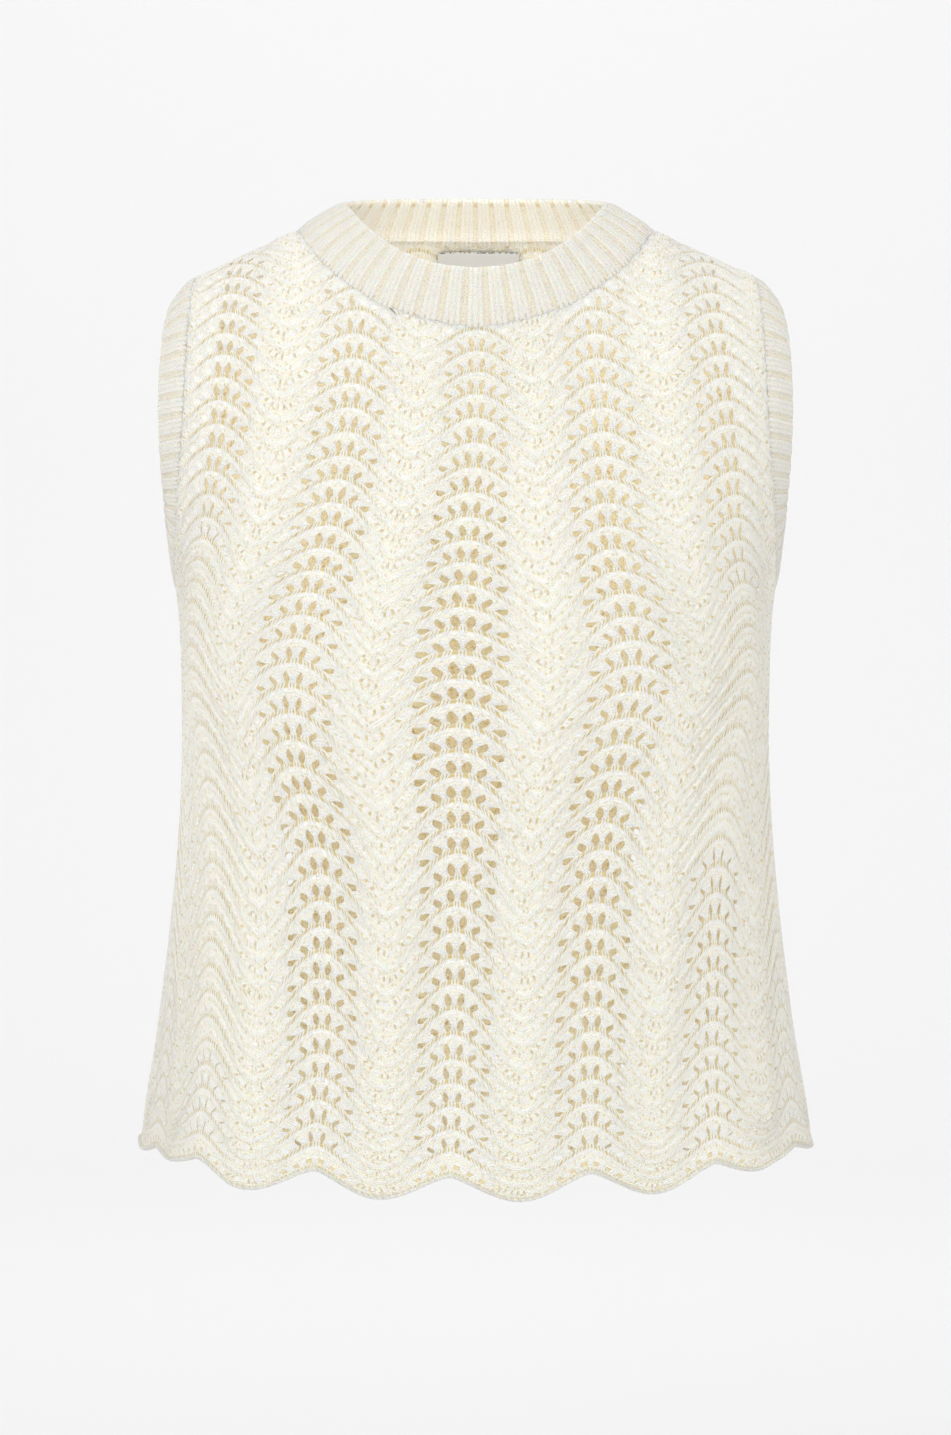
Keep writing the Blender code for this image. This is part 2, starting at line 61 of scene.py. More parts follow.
# %% Sizes of the body, the lace and the edges
BODY = (
    ("level", "half_width", "front_depth", "back_depth"),
    (-560, 193, 122, 112),
    (-530, 191, 120, 110.5),
    (-500, 187.5, 118, 108),
    (-460, 181, 116, 105.5),
    (-420, 175.8, 114.5, 103.5),
    (-380, 171.3, 114, 102),
    (-340, 168, 115, 101),
    (-300, 166.3, 117, 100),
    (-265, 166.3, 119, 99.5),
    (-235, 167, 119, 99),
    (-205, 169.5, 116, 98.5),
    (-170, 178, 109, 98),
    (-130, 189, 99, 97.5),
    (-90, 196, 90, 97),
    (-50, 198, 83, 96.5),
    (-10, 197, 79, 96),
    (40, 196, 78, 96),
    (90, 196, 78, 96),
)
FANS = (
    ("level", "left_3", "left_2", "left_1", "middle", "right_1", "right_2", "right_3"),
    (-560, -65.5, -47.5, -25, -3.8, 16.7, 38.6, 66),
    (-511, -67, -48.2, -24.4, -3.6, 17, 39.1, 67),
    (-418, -74, -52.1, -25.4, -3.2, 19, 44, 73),
    (-343, -83, -55.8, -27.7, -2.8, 21.4, 49.1, 79),
    (-293, -90, -60.5, -32.6, -2.7, 24.6, 54.1, 85),
    (-242, -98, -68.4, -32.6, -2.2, 27.4, 61.2, 93),
    (-217, -96, -66.5, -30.5, -2, 26.2, 59.4, 92),
    (-170, -83, -53.5, -24.2, -1, 21.6, 50, 80),
    (-117, -73, -44.4, -19.3, -0.1, 18.8, 43, 71),
    (-42, -67.5, -40.3, -17.1, 0.2, 17, 38.5, 66),
    (60, -67, -40, -16.8, 0.2, 16.9, 38.3, 66),
)
ROWS = (
    ("row", "middle", "rise", "wave", "lift"),
    (0.5, -526, 8.5, 13.5, 0),
    (1, -519, 8, 15.5, 0),
    (3, -494, 8, 23, 0),
    (6, -455.5, 8, 29, 0),
    (10, -399.4, 7, 34, 0),
    (15, -327, 9, 34, 0),
    (20, -258, 14.5, 31, 1.7),
    (22, -231.2, 10, 30.2, 4.4),
    (25, -192.6, 9.5, 29, 4.4),
    (27, -168, 9.8, 27, 5.6),
    (30, -126.8, 12, 24, 4),
    (33, -85.6, 9.8, 22.8, 5.6),
    (35, -61.4, 4, 22, 11.8),
    (44, 55, 4, 20, 12),
    (50, 132.6, 4, 20, 12),
)
LAST_ROW = 48
BELOW_HEM = -600.0
SIDE_RISE_POWER = 1.3
LIFT_REACH = 10.0  # degrees from the middle over which the lift of a row grows
BACK_SHIFT = 0.5  # fans by which the lace of the back is moved, so that it closes the eyelets
SIDE_FROM = 40.0  # angle from which the lace gets calmer and more closed towards the side
SIDE_OVER = 14.0
CALM_SHARE = 0.65  # share of their height that the waves of the hem lose there
CALM_ROWS = 4.0
SQUARENESS = 0.035  # how far the cross-section is from an ellipse
SHOULDER_RISE = 30.0
SHOULDER_REACH = 103.1
SHOULDER_POWER = 1.42
SHOULDER_ROUNDNESS = 0.55
ROLL = 100.0  # height over which the body turns in to the shoulder line
BUST = 8.0  # how much fuller the front is on each side of the bust
BUST_AT = (80.0, -240.0)  # x and z of its middle
BUST_REACH = (45.0, 60.0)
FOLD_DEPTH = 3.2  # soft folds above the hem
FOLDS_FROM = -380.0
FOLDS_OVER = 150.0
FOLDS_TO_SEAM = 30.0
FOLDS_ROUND = 8
ALONG_DEGREE = 3.0  # millimetres of cloth for each degree round the body, about
SIDE_SEAM = 90.0
SHOULDER_GAP = 0.06  # between the edge of a panel and the shoulder line
NECK_ANGLE = 27.9
# Edges that the panels are cut to. A level of None is that of the shoulder line.
FRONT_NECK = (
    ("angle", "level"),
    (0, -52),
    (5, -49),
    (9.5, -44),
    (14, -36.5),
    (17, -28),
    (20.5, -17),
    (24, -1.5),
    (26.2, 14),
    (NECK_ANGLE, None),
)
BACK_NECK = (
    ("angle", "level"),
    (0, 23.5),
    (6.5, 25),
    (13, 26.5),
    (18.5, 29),
    (22.7, 32.5),
    (25.7, 37),
    (NECK_ANGLE, None),
)
ARMHOLE = (
    ("angle", "level"),
    (50.4, None),
    (50.5, -15),
    (50.7, -33),
    (51, -54),
    (51.6, -76),
    (53, -99),
    (55.8, -122),
    (60, -143),
    (65.6, -163),
    (72.2, -181),
    (80, -195),
    (90, -205.5),
)
# Rims of the bands, from the middle of the neck and from the top of the armhole.
FRONT_RIM = (
    ("x", "depth", "z"),
    (0, 75.5, -26.8),
    (18.3, 74, -24.8),
    (35.5, 68, -19.2),
    (50, 56.2, -10.3),
    (62.2, 41.5, 0.8),
    (70.3, 23, 11),
    (74.3, 0, 17.1),
)
BACK_RIM = (
    ("x", "depth", "z"),
    (0, 45, 25.4),
    (20, 44.3, 25.4),
    (39.5, 41, 25),
    (56.5, 33, 23.6),
    (69, 18.8, 20.6),
    (74.3, 0, 17.1),
)
ARM_RIM = (
    ("x", "depth", "z"),
    (172, 0, -40.5),
    (174.5, 13, -45.5),
    (176.6, 22, -56),
    (177.8, 31, -70),
    (178.3, 37, -87),
    (178.3, 40, -105),
    (177.6, 40, -122),
    (176.6, 37, -138),
    (175.4, 31, -153),
    (174.2, 22, -166),
    (172.6, 12, -175),
    (172, 0, -180),
)
NECK_RIBS = 48
ARM_RIBS = 42
ARM_RIM_PACE = 0.12  # how far the armhole ribs run ahead on the rim, to lie square to it

# %% [markdown]
# ## 2. Cloth mathematics
#
# `smooth` reads a table along a smooth curve, so that a few rows give a rounded body. `on_body`
# turns cloth coordinates into points. The cross-section is a slightly squarish ellipse. Near the
# top it rolls over a quarter circle into the shoulder line, and `level` keeps measuring along the
# cloth while it does, so that the rows of lace keep their spacing.


# %% Body functions
def cubic(at, xs, ys):
    """Reads a smooth curve through the points (xs, ys) at the given places.

    Each stretch is a Hermite cubic whose end slopes are weighted means of the slopes beside it.
    """
    width = np.diff(xs)
    rise = np.diff(ys) / width
    slope = np.concatenate([rise[:1], np.zeros(len(xs) - 2), rise[-1:]])
    slope[1:-1] = (rise[1:] * width[:-1] + rise[:-1] * width[1:]) / (width[1:] + width[:-1])
    at = np.clip(at, xs[0], xs[-1])
    i = np.clip(np.searchsorted(xs, at, side="right") - 1, 0, len(xs) - 2)
    t = (at - xs[i]) / width[i]
    start = (1 + 2 * t) * (1 - t) ** 2 * ys[i] + t * (1 - t) ** 2 * width[i] * slope[i]
    return start + t * t * (3 - 2 * t) * ys[i + 1] + t * t * (t - 1) * width[i] * slope[i + 1]


def column(table, name):
    """One named column of a table."""
    names, *rows = table
    return np.array(rows, float)[:, names.index(name)]


def smooth(at, table, name):
    """Reads a named column of a table at the given values of its first column."""
    return cubic(at, column(table, table[0][0]), column(table, name))


def body_sizes(side, angle, level):
    """X, depth, shoulder height and shoulder roundness at cloth coordinates.

    x = half_width (sin a + q sin 3a) / (1 - q), where q is the squareness, and depth goes with
    the matching cosine. The shoulder line falls as rise (1 - (|x| / reach) ** power).
    """
    turn = np.radians(angle)
    sideways = np.sin(turn) + SQUARENESS * np.sin(3 * turn)
    forward = np.cos(turn) - SQUARENESS * np.cos(3 * turn)
    sideways = sideways / (1 - SQUARENESS)
    forward = np.maximum(forward / (1 - SQUARENESS), 0)
    x = smooth(level, BODY, "half_width") * sideways
    depth = smooth(level, BODY, "front_depth" if side < 0 else "back_depth")
    ridge = SHOULDER_RISE * (1 - (np.abs(x) / SHOULDER_REACH) ** SHOULDER_POWER)
    return x, depth * forward, ridge, SHOULDER_ROUNDNESS * depth * np.maximum(forward, 0.3)


def on_body(side, angle, level):
    """Points of the inner face of the cloth; side is -1 for the front and 1 for the back.

    The level becomes a drop h below the shoulder, h = sqrt(below ** 2 + r ** 2) - r, and the depth
    is its full value times the quarter circle sqrt(1 - (1 - h / ROLL) ** 2). The front is fuller
    at the bust by exp(-u ** 2 - v ** 2), with u and v the places from its middle by its reach.
    """
    angle = np.asarray(angle, float)
    level = np.asarray(level, float)
    x, depth, ridge, roundness = body_sizes(side, angle, level)
    below = np.maximum(ridge + roundness - level, 0)
    drop = np.sqrt(below**2 + roundness**2) - roundness
    turned = np.sqrt(np.maximum(0, 1 - (1 - np.minimum(drop / ROLL, 1)) ** 2))
    z = ridge - drop
    u = (np.abs(x) - BUST_AT[0]) / BUST_REACH[0]
    v = (z - BUST_AT[1]) / BUST_REACH[1]
    forward = depth * turned + (BUST * np.exp(-(u**2) - v**2) if side < 0 else 0)
    return np.stack([x, side * forward, z], axis=-1)


def unit(vectors):
    """The same vectors, each of length 1."""
    return vectors / np.linalg.norm(vectors, axis=-1, keepdims=True)


def out_of_body(side, angle, level):
    """Unit vectors standing out of the body: the cross product of two steps along the cloth."""
    right = on_body(side, angle + 0.2, level) - on_body(side, angle - 0.2, level)
    up = on_body(side, angle, level + 0.5) - on_body(side, angle, level - 0.5)
    return unit(np.cross(right, up) * -side)


# %% Shoulders and folds
def shoulder_level(side, angle):
    """Level at which the cloth reaches the shoulder line, less the shoulder gap."""
    level = 20.0
    for _ in range(20):
        _, _, ridge, roundness = body_sizes(side, angle, level)
        level = float(ridge + roundness)
    return level - SHOULDER_GAP


def folds(angle, level):
    """How far the cloth stands off the body in soft folds that open towards the hem.

    depth fade ** 2 (1 + cos 8a), with fade growing from 0 to 1 towards the hem, and all of it
    falling to 0 before the side seam.
    """
    fade = np.clip((FOLDS_FROM - level) / FOLDS_OVER, 0, 1)
    seam = np.clip((SIDE_SEAM - np.abs(angle)) / FOLDS_TO_SEAM, 0, 1)
    return FOLD_DEPTH * fade * fade * seam * (1 + np.cos(np.radians(angle * FOLDS_ROUND)))


# %% [markdown]
# ## 3. The lace on the cloth
#
# A place in the lace is a `row` (1 for the lowest course of eyelets) and a `fan` (0 for the
# middle fan, 0.5 for the solid place between fans 0 and 1). `lace_place` turns these into cloth
# coordinates. Rows arch over each fan and dip between fans.


# %% Lace functions
# How far the open part of a fan spreads, by level: from the bust down.
SPREAD = (
    ("level", "spread"),
    (-560, 0.03),
    (-340, 0.03),
    (-265, 0.03),
    (-200, 0.02),
    (-130, 0),
    (60, 0),
)
# How sharp the waves are, by row: 0 is a cosine, 1 is |cos|, with arched fans and V troughs, and
# -1 is 1 - |sin|, with cusps on the fans and the round lobes of the hem between them.
SHARPNESS = (
    ("row", "sharpness"),
    (0.5, -0.6),
    (1, -0.58),
    (4, -0.05),
    (6, 0.1),
    (12, 0.35),
    (19, 0.9),
    (26, 0.75),
    (35, 0.45),
    (45, 0.4),
)
TROUGH_ROUNDING = 0.16
CUSP_ROUNDING = 0.08


def fan_angle(fan, level):
    """Angle of each place between fans: a Catmull-Rom curve through the fan table of its level."""
    fans = [smooth(level, FANS, name) for name in FANS[0][1:]]
    for _ in range(4):
        fans = [2 * fans[0] - fans[1], *fans, 2 * fans[-1] - fans[-2]]
    fans = np.array(fans)
    place = np.clip(fan + 7, 1, 12.999)
    i = place.astype(int)
    t = place - i
    this = np.arange(len(i))
    before, a, b, after = (fans[i + k, this] for k in (-1, 0, 1, 2))
    slopes = (b - before) / 2, (after - a) / 2
    bend = (1 + 2 * t) * (1 - t) ** 2 * a + t * (1 - t) ** 2 * slopes[0]
    return bend + t * t * (3 - 2 * t) * b + t * t * (t - 1) * slopes[1]


def wave_part(fan, row):
    """Height of a row as a part of its wave, 1 on a fan and 0 between fans.

    A mix of a cosine, 0.5 + 0.5 cos(2 pi fan), with arches, |cos(pi fan)|, or with lobes,
    1 - |sin(pi fan)|. Their corners are rounded as sqrt(x ** 2 + rounding ** 2) - rounding.
    """

    def rounded(x, rounding):
        return (np.sqrt(x**2 + rounding**2) - rounding) / (math.sqrt(1 + rounding**2) - rounding)

    sharp = smooth(row, SHARPNESS, "sharpness")
    round_wave = 0.5 + 0.5 * np.cos(2 * np.pi * fan)
    arches = rounded(np.cos(np.pi * fan), TROUGH_ROUNDING)
    lobes = 1 - rounded(np.sin(np.pi * fan), CUSP_ROUNDING)
    other = np.where(sharp > 0, arches, lobes)
    return round_wave + np.abs(sharp) * (other - round_wave)


def towards_side(angle):
    """0 in the middle of a panel and 1 near its side seam."""
    return np.clip((np.abs(angle) - SIDE_FROM) / SIDE_OVER, 0, 1)


def lace_place(side, row, fan):
    """Cloth coordinates (angle, level) of places in the lace of one panel.

    level = middle(row) + rise(row) |sin angle| ** 1.3 - wave(row) (1 - part), plus a lift that
    grows as 1 - exp(-(angle / 10) ** 2), found in four rounds because the angle of a fan depends
    on the level. Near the hem the waves get lower towards the side. Between one fan and the next,
    the open part spreads: its place moves out by spread sin(2 pi fan) / 2 pi.
    """
    middle, rise, wave, lift = (smooth(row, ROWS, name) for name in ROWS[0][1:])
    near_hem = np.clip((CALM_ROWS - row) / 3, 0, 1)
    place = fan + smooth(middle, SPREAD, "spread") * np.sin(2 * np.pi * fan) / (2 * np.pi)
    place = place + (BACK_SHIFT if side > 0 else 0)
    level = middle
    for _ in range(4):
        angle = fan_angle(place, level)
        turned = np.sin(np.radians(np.clip(np.abs(angle), 0, SIDE_SEAM))) ** SIDE_RISE_POWER
        calm = CALM_SHARE * near_hem * towards_side(angle)
        raised = rise * turned + lift * (1 - np.exp(-((angle / LIFT_REACH) ** 2)))
        level = middle + raised - wave * (1 - calm) * (1 - wave_part(fan, row))
    return angle, level


# %% Edges of the panels
def resample(points, count, pace=0.0):
    """Evenly spaced points along a smooth curve through the given ones.

    A pace lets them run ahead in the middle: place = length (t + 2 pace t sin(pi t) ** 2).
    """

    def lengths(line):
        steps = np.linalg.norm(np.diff(line, axis=0), axis=1)
        return np.concatenate([[0], np.cumsum(steps)])

    along = lengths(points)
    fine = np.linspace(0, along[-1], 400)
    curve = np.column_stack([cubic(fine, along, values) for values in np.transpose(points)])
    along = lengths(curve)
    t = np.linspace(0, 1, count)
    even = along[-1] * (t + 2 * pace * t * np.sin(np.pi * t) ** 2)
    return np.column_stack([np.interp(even, along, values) for values in curve.T])


def edge_on_cloth(side, table, count):
    """Evenly spaced cloth coordinates along an edge table, whose None is the shoulder line."""
    rows = [(a, shoulder_level(side, a) if level is None else level) for a, level in table[1:]]
    return resample(np.array(rows, float) * (ALONG_DEGREE, 1), count) / (ALONG_DEGREE, 1)


def panel_outline(side):
    """Closed flat outline that a panel is cut to, with millimetres both ways.

    It runs on far below the hem, where the lace itself ends in its own waves.
    """
    armhole = edge_on_cloth(side, ARMHOLE, 61)
    armhole[-1, 0] = SIDE_SEAM
    neck = edge_on_cloth(side, FRONT_NECK if side < 0 else BACK_NECK, 41)
    over = [(a, shoulder_level(side, a)) for a in np.linspace(neck[-1, 0], armhole[0, 0], 16)]
    half = np.concatenate([neck, over[1:-1], armhole, [(SIDE_SEAM, BELOW_HEM)]])
    whole = np.concatenate([half[::-1], half[1:] * (-1, 1)])
    return whole * (ALONG_DEGREE, 1)


def cut_to(outline, flat):
    """Nearest points on an outline, how far they are, and which of the flat points are inside."""
    nearest = np.zeros_like(flat)
    distance = np.full(len(flat), np.inf)
    within = np.zeros(len(flat), bool)
    for a, b in zip(outline, np.roll(outline, -1, axis=0)):
        along = b - a
        t = np.clip(((flat - a) @ along) / max(along @ along, 1e-9), 0, 1)
        at = a + t[:, None] * along
        away = np.linalg.norm(flat - at, axis=1)
        closer = away < distance
        distance[closer] = away[closer]
        nearest[closer] = at[closer]
        if a[1] != b[1]:
            crosses = (a[1] > flat[:, 1]) != (b[1] > flat[:, 1])
            left = flat[:, 0] < a[0] + (flat[:, 1] - a[1]) / (b[1] - a[1]) * along[0]
            within ^= crosses & left
    return nearest, distance, within


# %% [markdown]
# ## 4. Meshes
#
# A sheet of cloth is a **shell**: an outer and an inner face with the same quads, joined by a rim
# wherever a quad has no neighbour. That one rule closes the outside edges and every eyelet.


# %% Mesh helpers
SHARP_FROM = 50.0  # degrees between two faces from which their edge is drawn crisp


def shell_faces(quads, count):
    """Quads of an outer face, the same quads turned round on the inner face, and their rims."""
    edges = np.concatenate([quads[:, [i, (i + 1) % 4]] for i in range(4)])
    keys = np.sort(edges, axis=1)
    _, first, times = np.unique(
        keys[:, 0] * (2 * count) + keys[:, 1], return_index=True, return_counts=True
    )
    open_edges = edges[first[times == 1]]
    a, b = open_edges.T
    rims = np.column_stack([b, a, a + count, b + count])
    return np.concatenate([quads, quads[:, ::-1] + count, rims])


def add_piece(name, points, faces, uv, fields):
    """A smooth mesh piece from arrays: points in millimetres, quads, UV and named fields."""
    used, faces = np.unique(faces, return_inverse=True)
    faces = faces.reshape(-1, 4)
    mesh = bpy.data.meshes.new(name)
    mesh.vertices.add(len(used))
    mesh.vertices.foreach_set("co", (points[used] * MM).astype(np.float32).ravel())
    mesh.loops.add(faces.size)
    mesh.loops.foreach_set("vertex_index", faces.astype(np.int32).ravel())
    mesh.polygons.add(len(faces))
    mesh.polygons.foreach_set("loop_start", np.arange(0, faces.size, 4, dtype=np.int32))
    mesh.update(calc_edges=True)
    mesh.validate()
    mesh.shade_smooth()
    mesh.set_sharp_from_angle(angle=math.radians(SHARP_FROM))
    layer = mesh.uv_layers.new(name="stitches")
    corner = np.empty(len(mesh.loops), np.int32)
    mesh.loops.foreach_get("vertex_index", corner)
    layer.data.foreach_set("uv", uv[used][corner].astype(np.float32).ravel())
    for field, values in fields.items():
        made = mesh.attributes.new(field, "FLOAT", "POINT")
        made.data.foreach_set("value", values[used].astype(np.float32))
    piece = bpy.data.objects.new(name, mesh)
    bpy.context.scene.collection.objects.link(piece)
    return piece


# %% [markdown]
# ## 5. The lace panels
#
# One fan is 22 stitches wide and one row is four courses high. Six eyelets stand in each fan and
# row. The grid has a column along each edge of an eyelet and one in the middle of each strand
# between eyelets, so that strands can be rounded: their edges are lower than their middle. It
# leans outwards at the top of each row, so that the eyelets stand square to the wave.

# %% Eyelets and relief
STITCHES = 22
COURSES = 4
# Eyelets of half a fan: width as a part of the first one, reach up and down as a part of a row.
EYELETS = (
    ("stitch", "width", "reach"),
    (1, 1, 0.28),
    (3, 0.78, 0.28),
    (5, 0.85, 0.26),
)
SOLID_STITCHES = (7.6, 9.3)  # grid columns between the fans, in stitches from the middle of one
# Half the width of the first eyelet as a part of a fan: widest where the bust stretches the cloth.
EYELET_WIDTHS = (
    ("level", "width"),
    (-560, 0.010),
    (-520, 0.014),
    (-440, 0.022),
    (-340, 0.026),
    (-265, 0.030),
    (-200, 0.027),
    (-120, 0.022),
    (-50, 0.020),
    (60, 0.020),
)
# Share of that width in the other fans of the front, by their place: slack cloth closes them.
SHARES = (
    ("level", "ones", "left_2", "right_2", "threes"),
    (-560, 1, 0.5, 0.8, 0.7),
    (-480, 1, 0.4, 0.8, 0.6),
    (-450, 1, 0.2, 0.75, 0.5),
    (-420, 1, 0, 0.75, 0.3),
    (-390, 1, 0, 0.7, 0),
    (-355, 1, 0, 0.45, 0),
    (-320, 0.95, 0, 0, 0),
    (-280, 0.68, 0, 0, 0),
    (-235, 0.68, 0, 0, 0),
    (-190, 1, 0.2, 0.6, 0),
    (-165, 1, 0.7, 0.8, 0),
    (60, 1, 0.75, 0.75, 0),
)
LEAST_SHARE = 0.25  # an eyelet with no more than this share is closed
HEM_CLOSED_TO = 1.6  # row below which the eyelets are pulled shut
EDGE_FANS_FROM = 24.5  # row above which the fans beside the armholes lose their outer eyelets
EDGE_FANS_REACH = 2.2  # stitches to which those fans stay open on their outer side
BACK_EYELETS = 0.8  # width of the eyelets of the back, which nothing stretches
BACK_OPEN_TO = -30.0  # level above which the back has no eyelets
BACK_REACH = 4.0  # stitches from the middle of a fan to which the back has eyelets
BACK_SLACK = 0.6  # share of their width that the eyelets of the back lose towards the side
# Lines of the grid within a row, and how wide an eyelet is there.
LINES = (
    ("place", "width"),
    (-0.27, 0.30),
    (-0.15, 0.90),
    (-0.01, 1.05),
    (0.12, 0.75),
    (0.25, 0.12),
    (0.40, 0.40),
    (0.57, 0.50),
)
EYELET_LINES = 5  # the first lines of a row, which an eyelet lies in
# Lines of the bound-off roll along the hem.
HEM_ROLL = (("row", "height"), (0.50, 0.5), (0.54, 1.6), (0.60, 1.7), (0.66, 0.1))
LEAN = 0.055  # how far the grid leans outwards at the top of a row, as a part of a fan
LACE_WALL = 1.3
RIDGE_HEIGHT = 1.2
RIDGE_WIDTH = 0.17  # of the ridge between two rows of eyelets, as a part of a row
FLAT_OVER_EYELETS = 0.95  # share of its height that this ridge loses between open eyelets
SECOND_RIDGE = 0.85  # height of the ridge in place of closed eyelets, as a part of the first
SECOND_WIDTH = 0.14
STRAND_ROUNDING = 0.2
INNER_ROUNDING = 0.35
FAN_REACH = 0.31  # how far the open part of a fan reaches from its middle
FAN_FADE = 0.04
OPEN_FADE = 0.2
SHUT_SHARE = 0.6  # how much of an eyelet shows, as a painted slit of shade, where the cloth is slack, beside the hem
EYELET_MARGIN = 4.0  # least distance of an eyelet from the edge of its panel
EDGE_REACH = 3.0  # distance from the edge over which the relief gets lower
EDGE_FLATNESS = 0.7
ROLL_INSIDE = 0.3  # height of the roll of the hem on the inner face, as a part of the outer
PALE_FROM = 5.0  # level above which light from the neck keeps the inside pale
PALE_OVER = 50.0
PALEST = 0.1


# %% Grid of the lace
def fan_columns():
    """Grid columns across one fan: place from -0.5 to 0.5, edge, and an eyelet's width and reach.

    Edge is -1 along the left edge of an eyelet, 1 along its right edge, and 0 elsewhere.
    """
    half = [(0.0, 0, 0, 0)]
    for stitch, width, reach in EYELETS[1:]:
        half.append((stitch / STITCHES, -1, width, reach))
        half.append((stitch / STITCHES, 1, width, reach))
        half.append((stitch / STITCHES + 1 / STITCHES, 0, 0, 0))
    half += [(stitch / STITCHES, 0, 0, 0) for stitch in SOLID_STITCHES]
    left = [(-place, -edge, width, reach) for place, edge, width, reach in half[:0:-1]]
    return np.array([(-0.5, 0, 0, 0), *left, *half], float)


def lace_grid():
    """The grid of a panel, from the hem up: arrays with one value for each point.

    Line is the width of an eyelet on the line of the point, middle the level of its row at the
    middle, and phase how far it is from the middle of the eyelets, in rows.
    """
    columns = fan_columns()
    fans = np.arange(-5, 5)
    place = (fans[:, None] + columns[:, 0]).ravel()
    row = (np.arange(1, LAST_ROW + 1)[:, None] + column(LINES, "place")).ravel()
    hem_row = column(HEM_ROLL, "row")
    lines = (
        np.concatenate([hem_row, row]),
        np.concatenate([0 * hem_row, np.tile(column(LINES, "width"), LAST_ROW)]),
        np.concatenate([column(HEM_ROLL, "height"), 0 * row]),
    )
    grid = SimpleNamespace(across=len(place))
    grid.row, grid.line, grid.roll = (np.repeat(values, grid.across) for values in lines)
    by_column = (place, *np.tile(columns[:, 1:], (len(fans), 1)).T)
    grid.fan, grid.edge, grid.width, grid.reach = (
        np.tile(values, len(lines[0])) for values in by_column
    )
    grid.middle = smooth(grid.row, ROWS, "middle")
    grid.phase = grid.row - np.floor(grid.row + 0.5)
    grid.from_fan = np.abs(grid.fan - np.round(grid.fan))
    grid.in_fan = np.clip((FAN_REACH - grid.from_fan) / FAN_FADE, 0, 1)
    grid.in_lace = grid.row > hem_row[-1] + 0.01
    return grid


# %% Eyelets
def eyelet_share(side, grid):
    """Share of its full width that an eyelet has at each point, from 0 to 1."""
    if side > 0:
        angle, _ = lace_place(side, grid.row, grid.fan)
        return 1 - BACK_SLACK * towards_side(angle)
    fan = np.round(grid.fan)
    ones, left_2, right_2, threes = (smooth(grid.middle, SHARES, name) for name in SHARES[0][1:])
    which = [fan == 0, np.abs(fan) == 1, fan == -2, fan == 2]
    return np.select(which, [1, ones, left_2, right_2], threes)


def grid_on_cloth(side, grid, share):
    """Cloth coordinates of the grid, with the edges of each eyelet drawn apart.

    It leans outwards by lean / 2 sin(2 pi fan) sin(2 pi phase).
    """
    width = smooth(grid.middle, EYELET_WIDTHS, "width") * (BACK_EYELETS if side > 0 else 1)
    width = width * np.maximum(share, LEAST_SHARE)
    shift = grid.edge * grid.width * grid.line * width
    lean = LEAN * np.sin(2 * np.pi * grid.fan) * 0.5 * np.sin(2 * np.pi * grid.phase)
    return lace_place(side, grid.row, grid.fan + shift + lean)


def beside_eyelets(side, grid, share, distance):
    """Which points are on the edge of an open eyelet: all of it is well inside the panel."""
    opened = (distance > EYELET_MARGIN) & (share > LEAST_SHARE) & (grid.row > HEM_CLOSED_TO)
    if side > 0:
        opened &= (grid.middle < BACK_OPEN_TO) & (grid.from_fan * STITCHES < BACK_REACH)
    else:
        outwards = (np.abs(grid.fan) - 2) * STITCHES
        outer_half = (outwards > EDGE_FANS_REACH) & (outwards < STITCHES / 2)
        opened &= ~((grid.row > EDGE_FANS_FROM) & outer_half)
    hem_lines = len(HEM_ROLL) - 1
    opened = opened.reshape(-1, grid.across)[hem_lines:].reshape(LAST_ROW, -1, grid.across)
    whole = np.repeat(opened[:, :EYELET_LINES].all(axis=1), opened.shape[1], axis=0)
    whole = np.concatenate([np.zeros((hem_lines, grid.across), bool), whole]).ravel()
    return (np.abs(grid.phase) < grid.reach) & whole


def cloth_quads(grid, inside, beside):
    """Quads of the grid that are cloth: some of them inside the panel, and not in an eyelet."""
    ids = np.arange(len(grid.row)).reshape(-1, grid.across)
    corners = [ids[:-1, :-1], ids[:-1, 1:], ids[1:, 1:], ids[1:, :-1]]
    quads = np.stack(corners, axis=-1).reshape(-1, 4)
    is_hole = (grid.edge[quads[:, 0]] == -1) & (grid.edge[quads[:, 1]] == 1)
    is_hole &= beside[quads].all(axis=1)
    return quads[inside[quads].any(axis=1) & ~is_hole]


# %% Relief and panels
def lace_relief(grid, share, beside, inside, distance):
    """Heights of the outer and the inner face of the lace.

    Each ridge is exp(-(d / width) ** 2). The first runs between the rows of eyelets and fades
    where those are open. The second takes the place of closed ones.
    """
    opened = grid.in_fan * np.clip((share - LEAST_SHARE) / OPEN_FADE, 0, 1)
    from_ridge = np.abs(np.abs(grid.phase) - 0.5)
    ridge = np.exp(-((from_ridge / RIDGE_WIDTH) ** 2)) * (1 - FLAT_OVER_EYELETS * opened)
    ridge += np.exp(-((grid.phase / SECOND_WIDTH) ** 2)) * (1 - opened) * SECOND_RIDGE
    ridge *= RIDGE_HEIGHT * grid.in_lace
    strand = np.where(beside, -STRAND_ROUNDING, 0.0)
    edge = np.clip(1 - distance / EDGE_REACH, 0, 1) * inside + ~inside
    outer = LACE_WALL + (ridge + strand) * (1 - EDGE_FLATNESS * edge) + grid.roll
    inner = np.where(beside, INNER_ROUNDING, 0.0) - ROLL_INSIDE * grid.roll
    return outer, inner


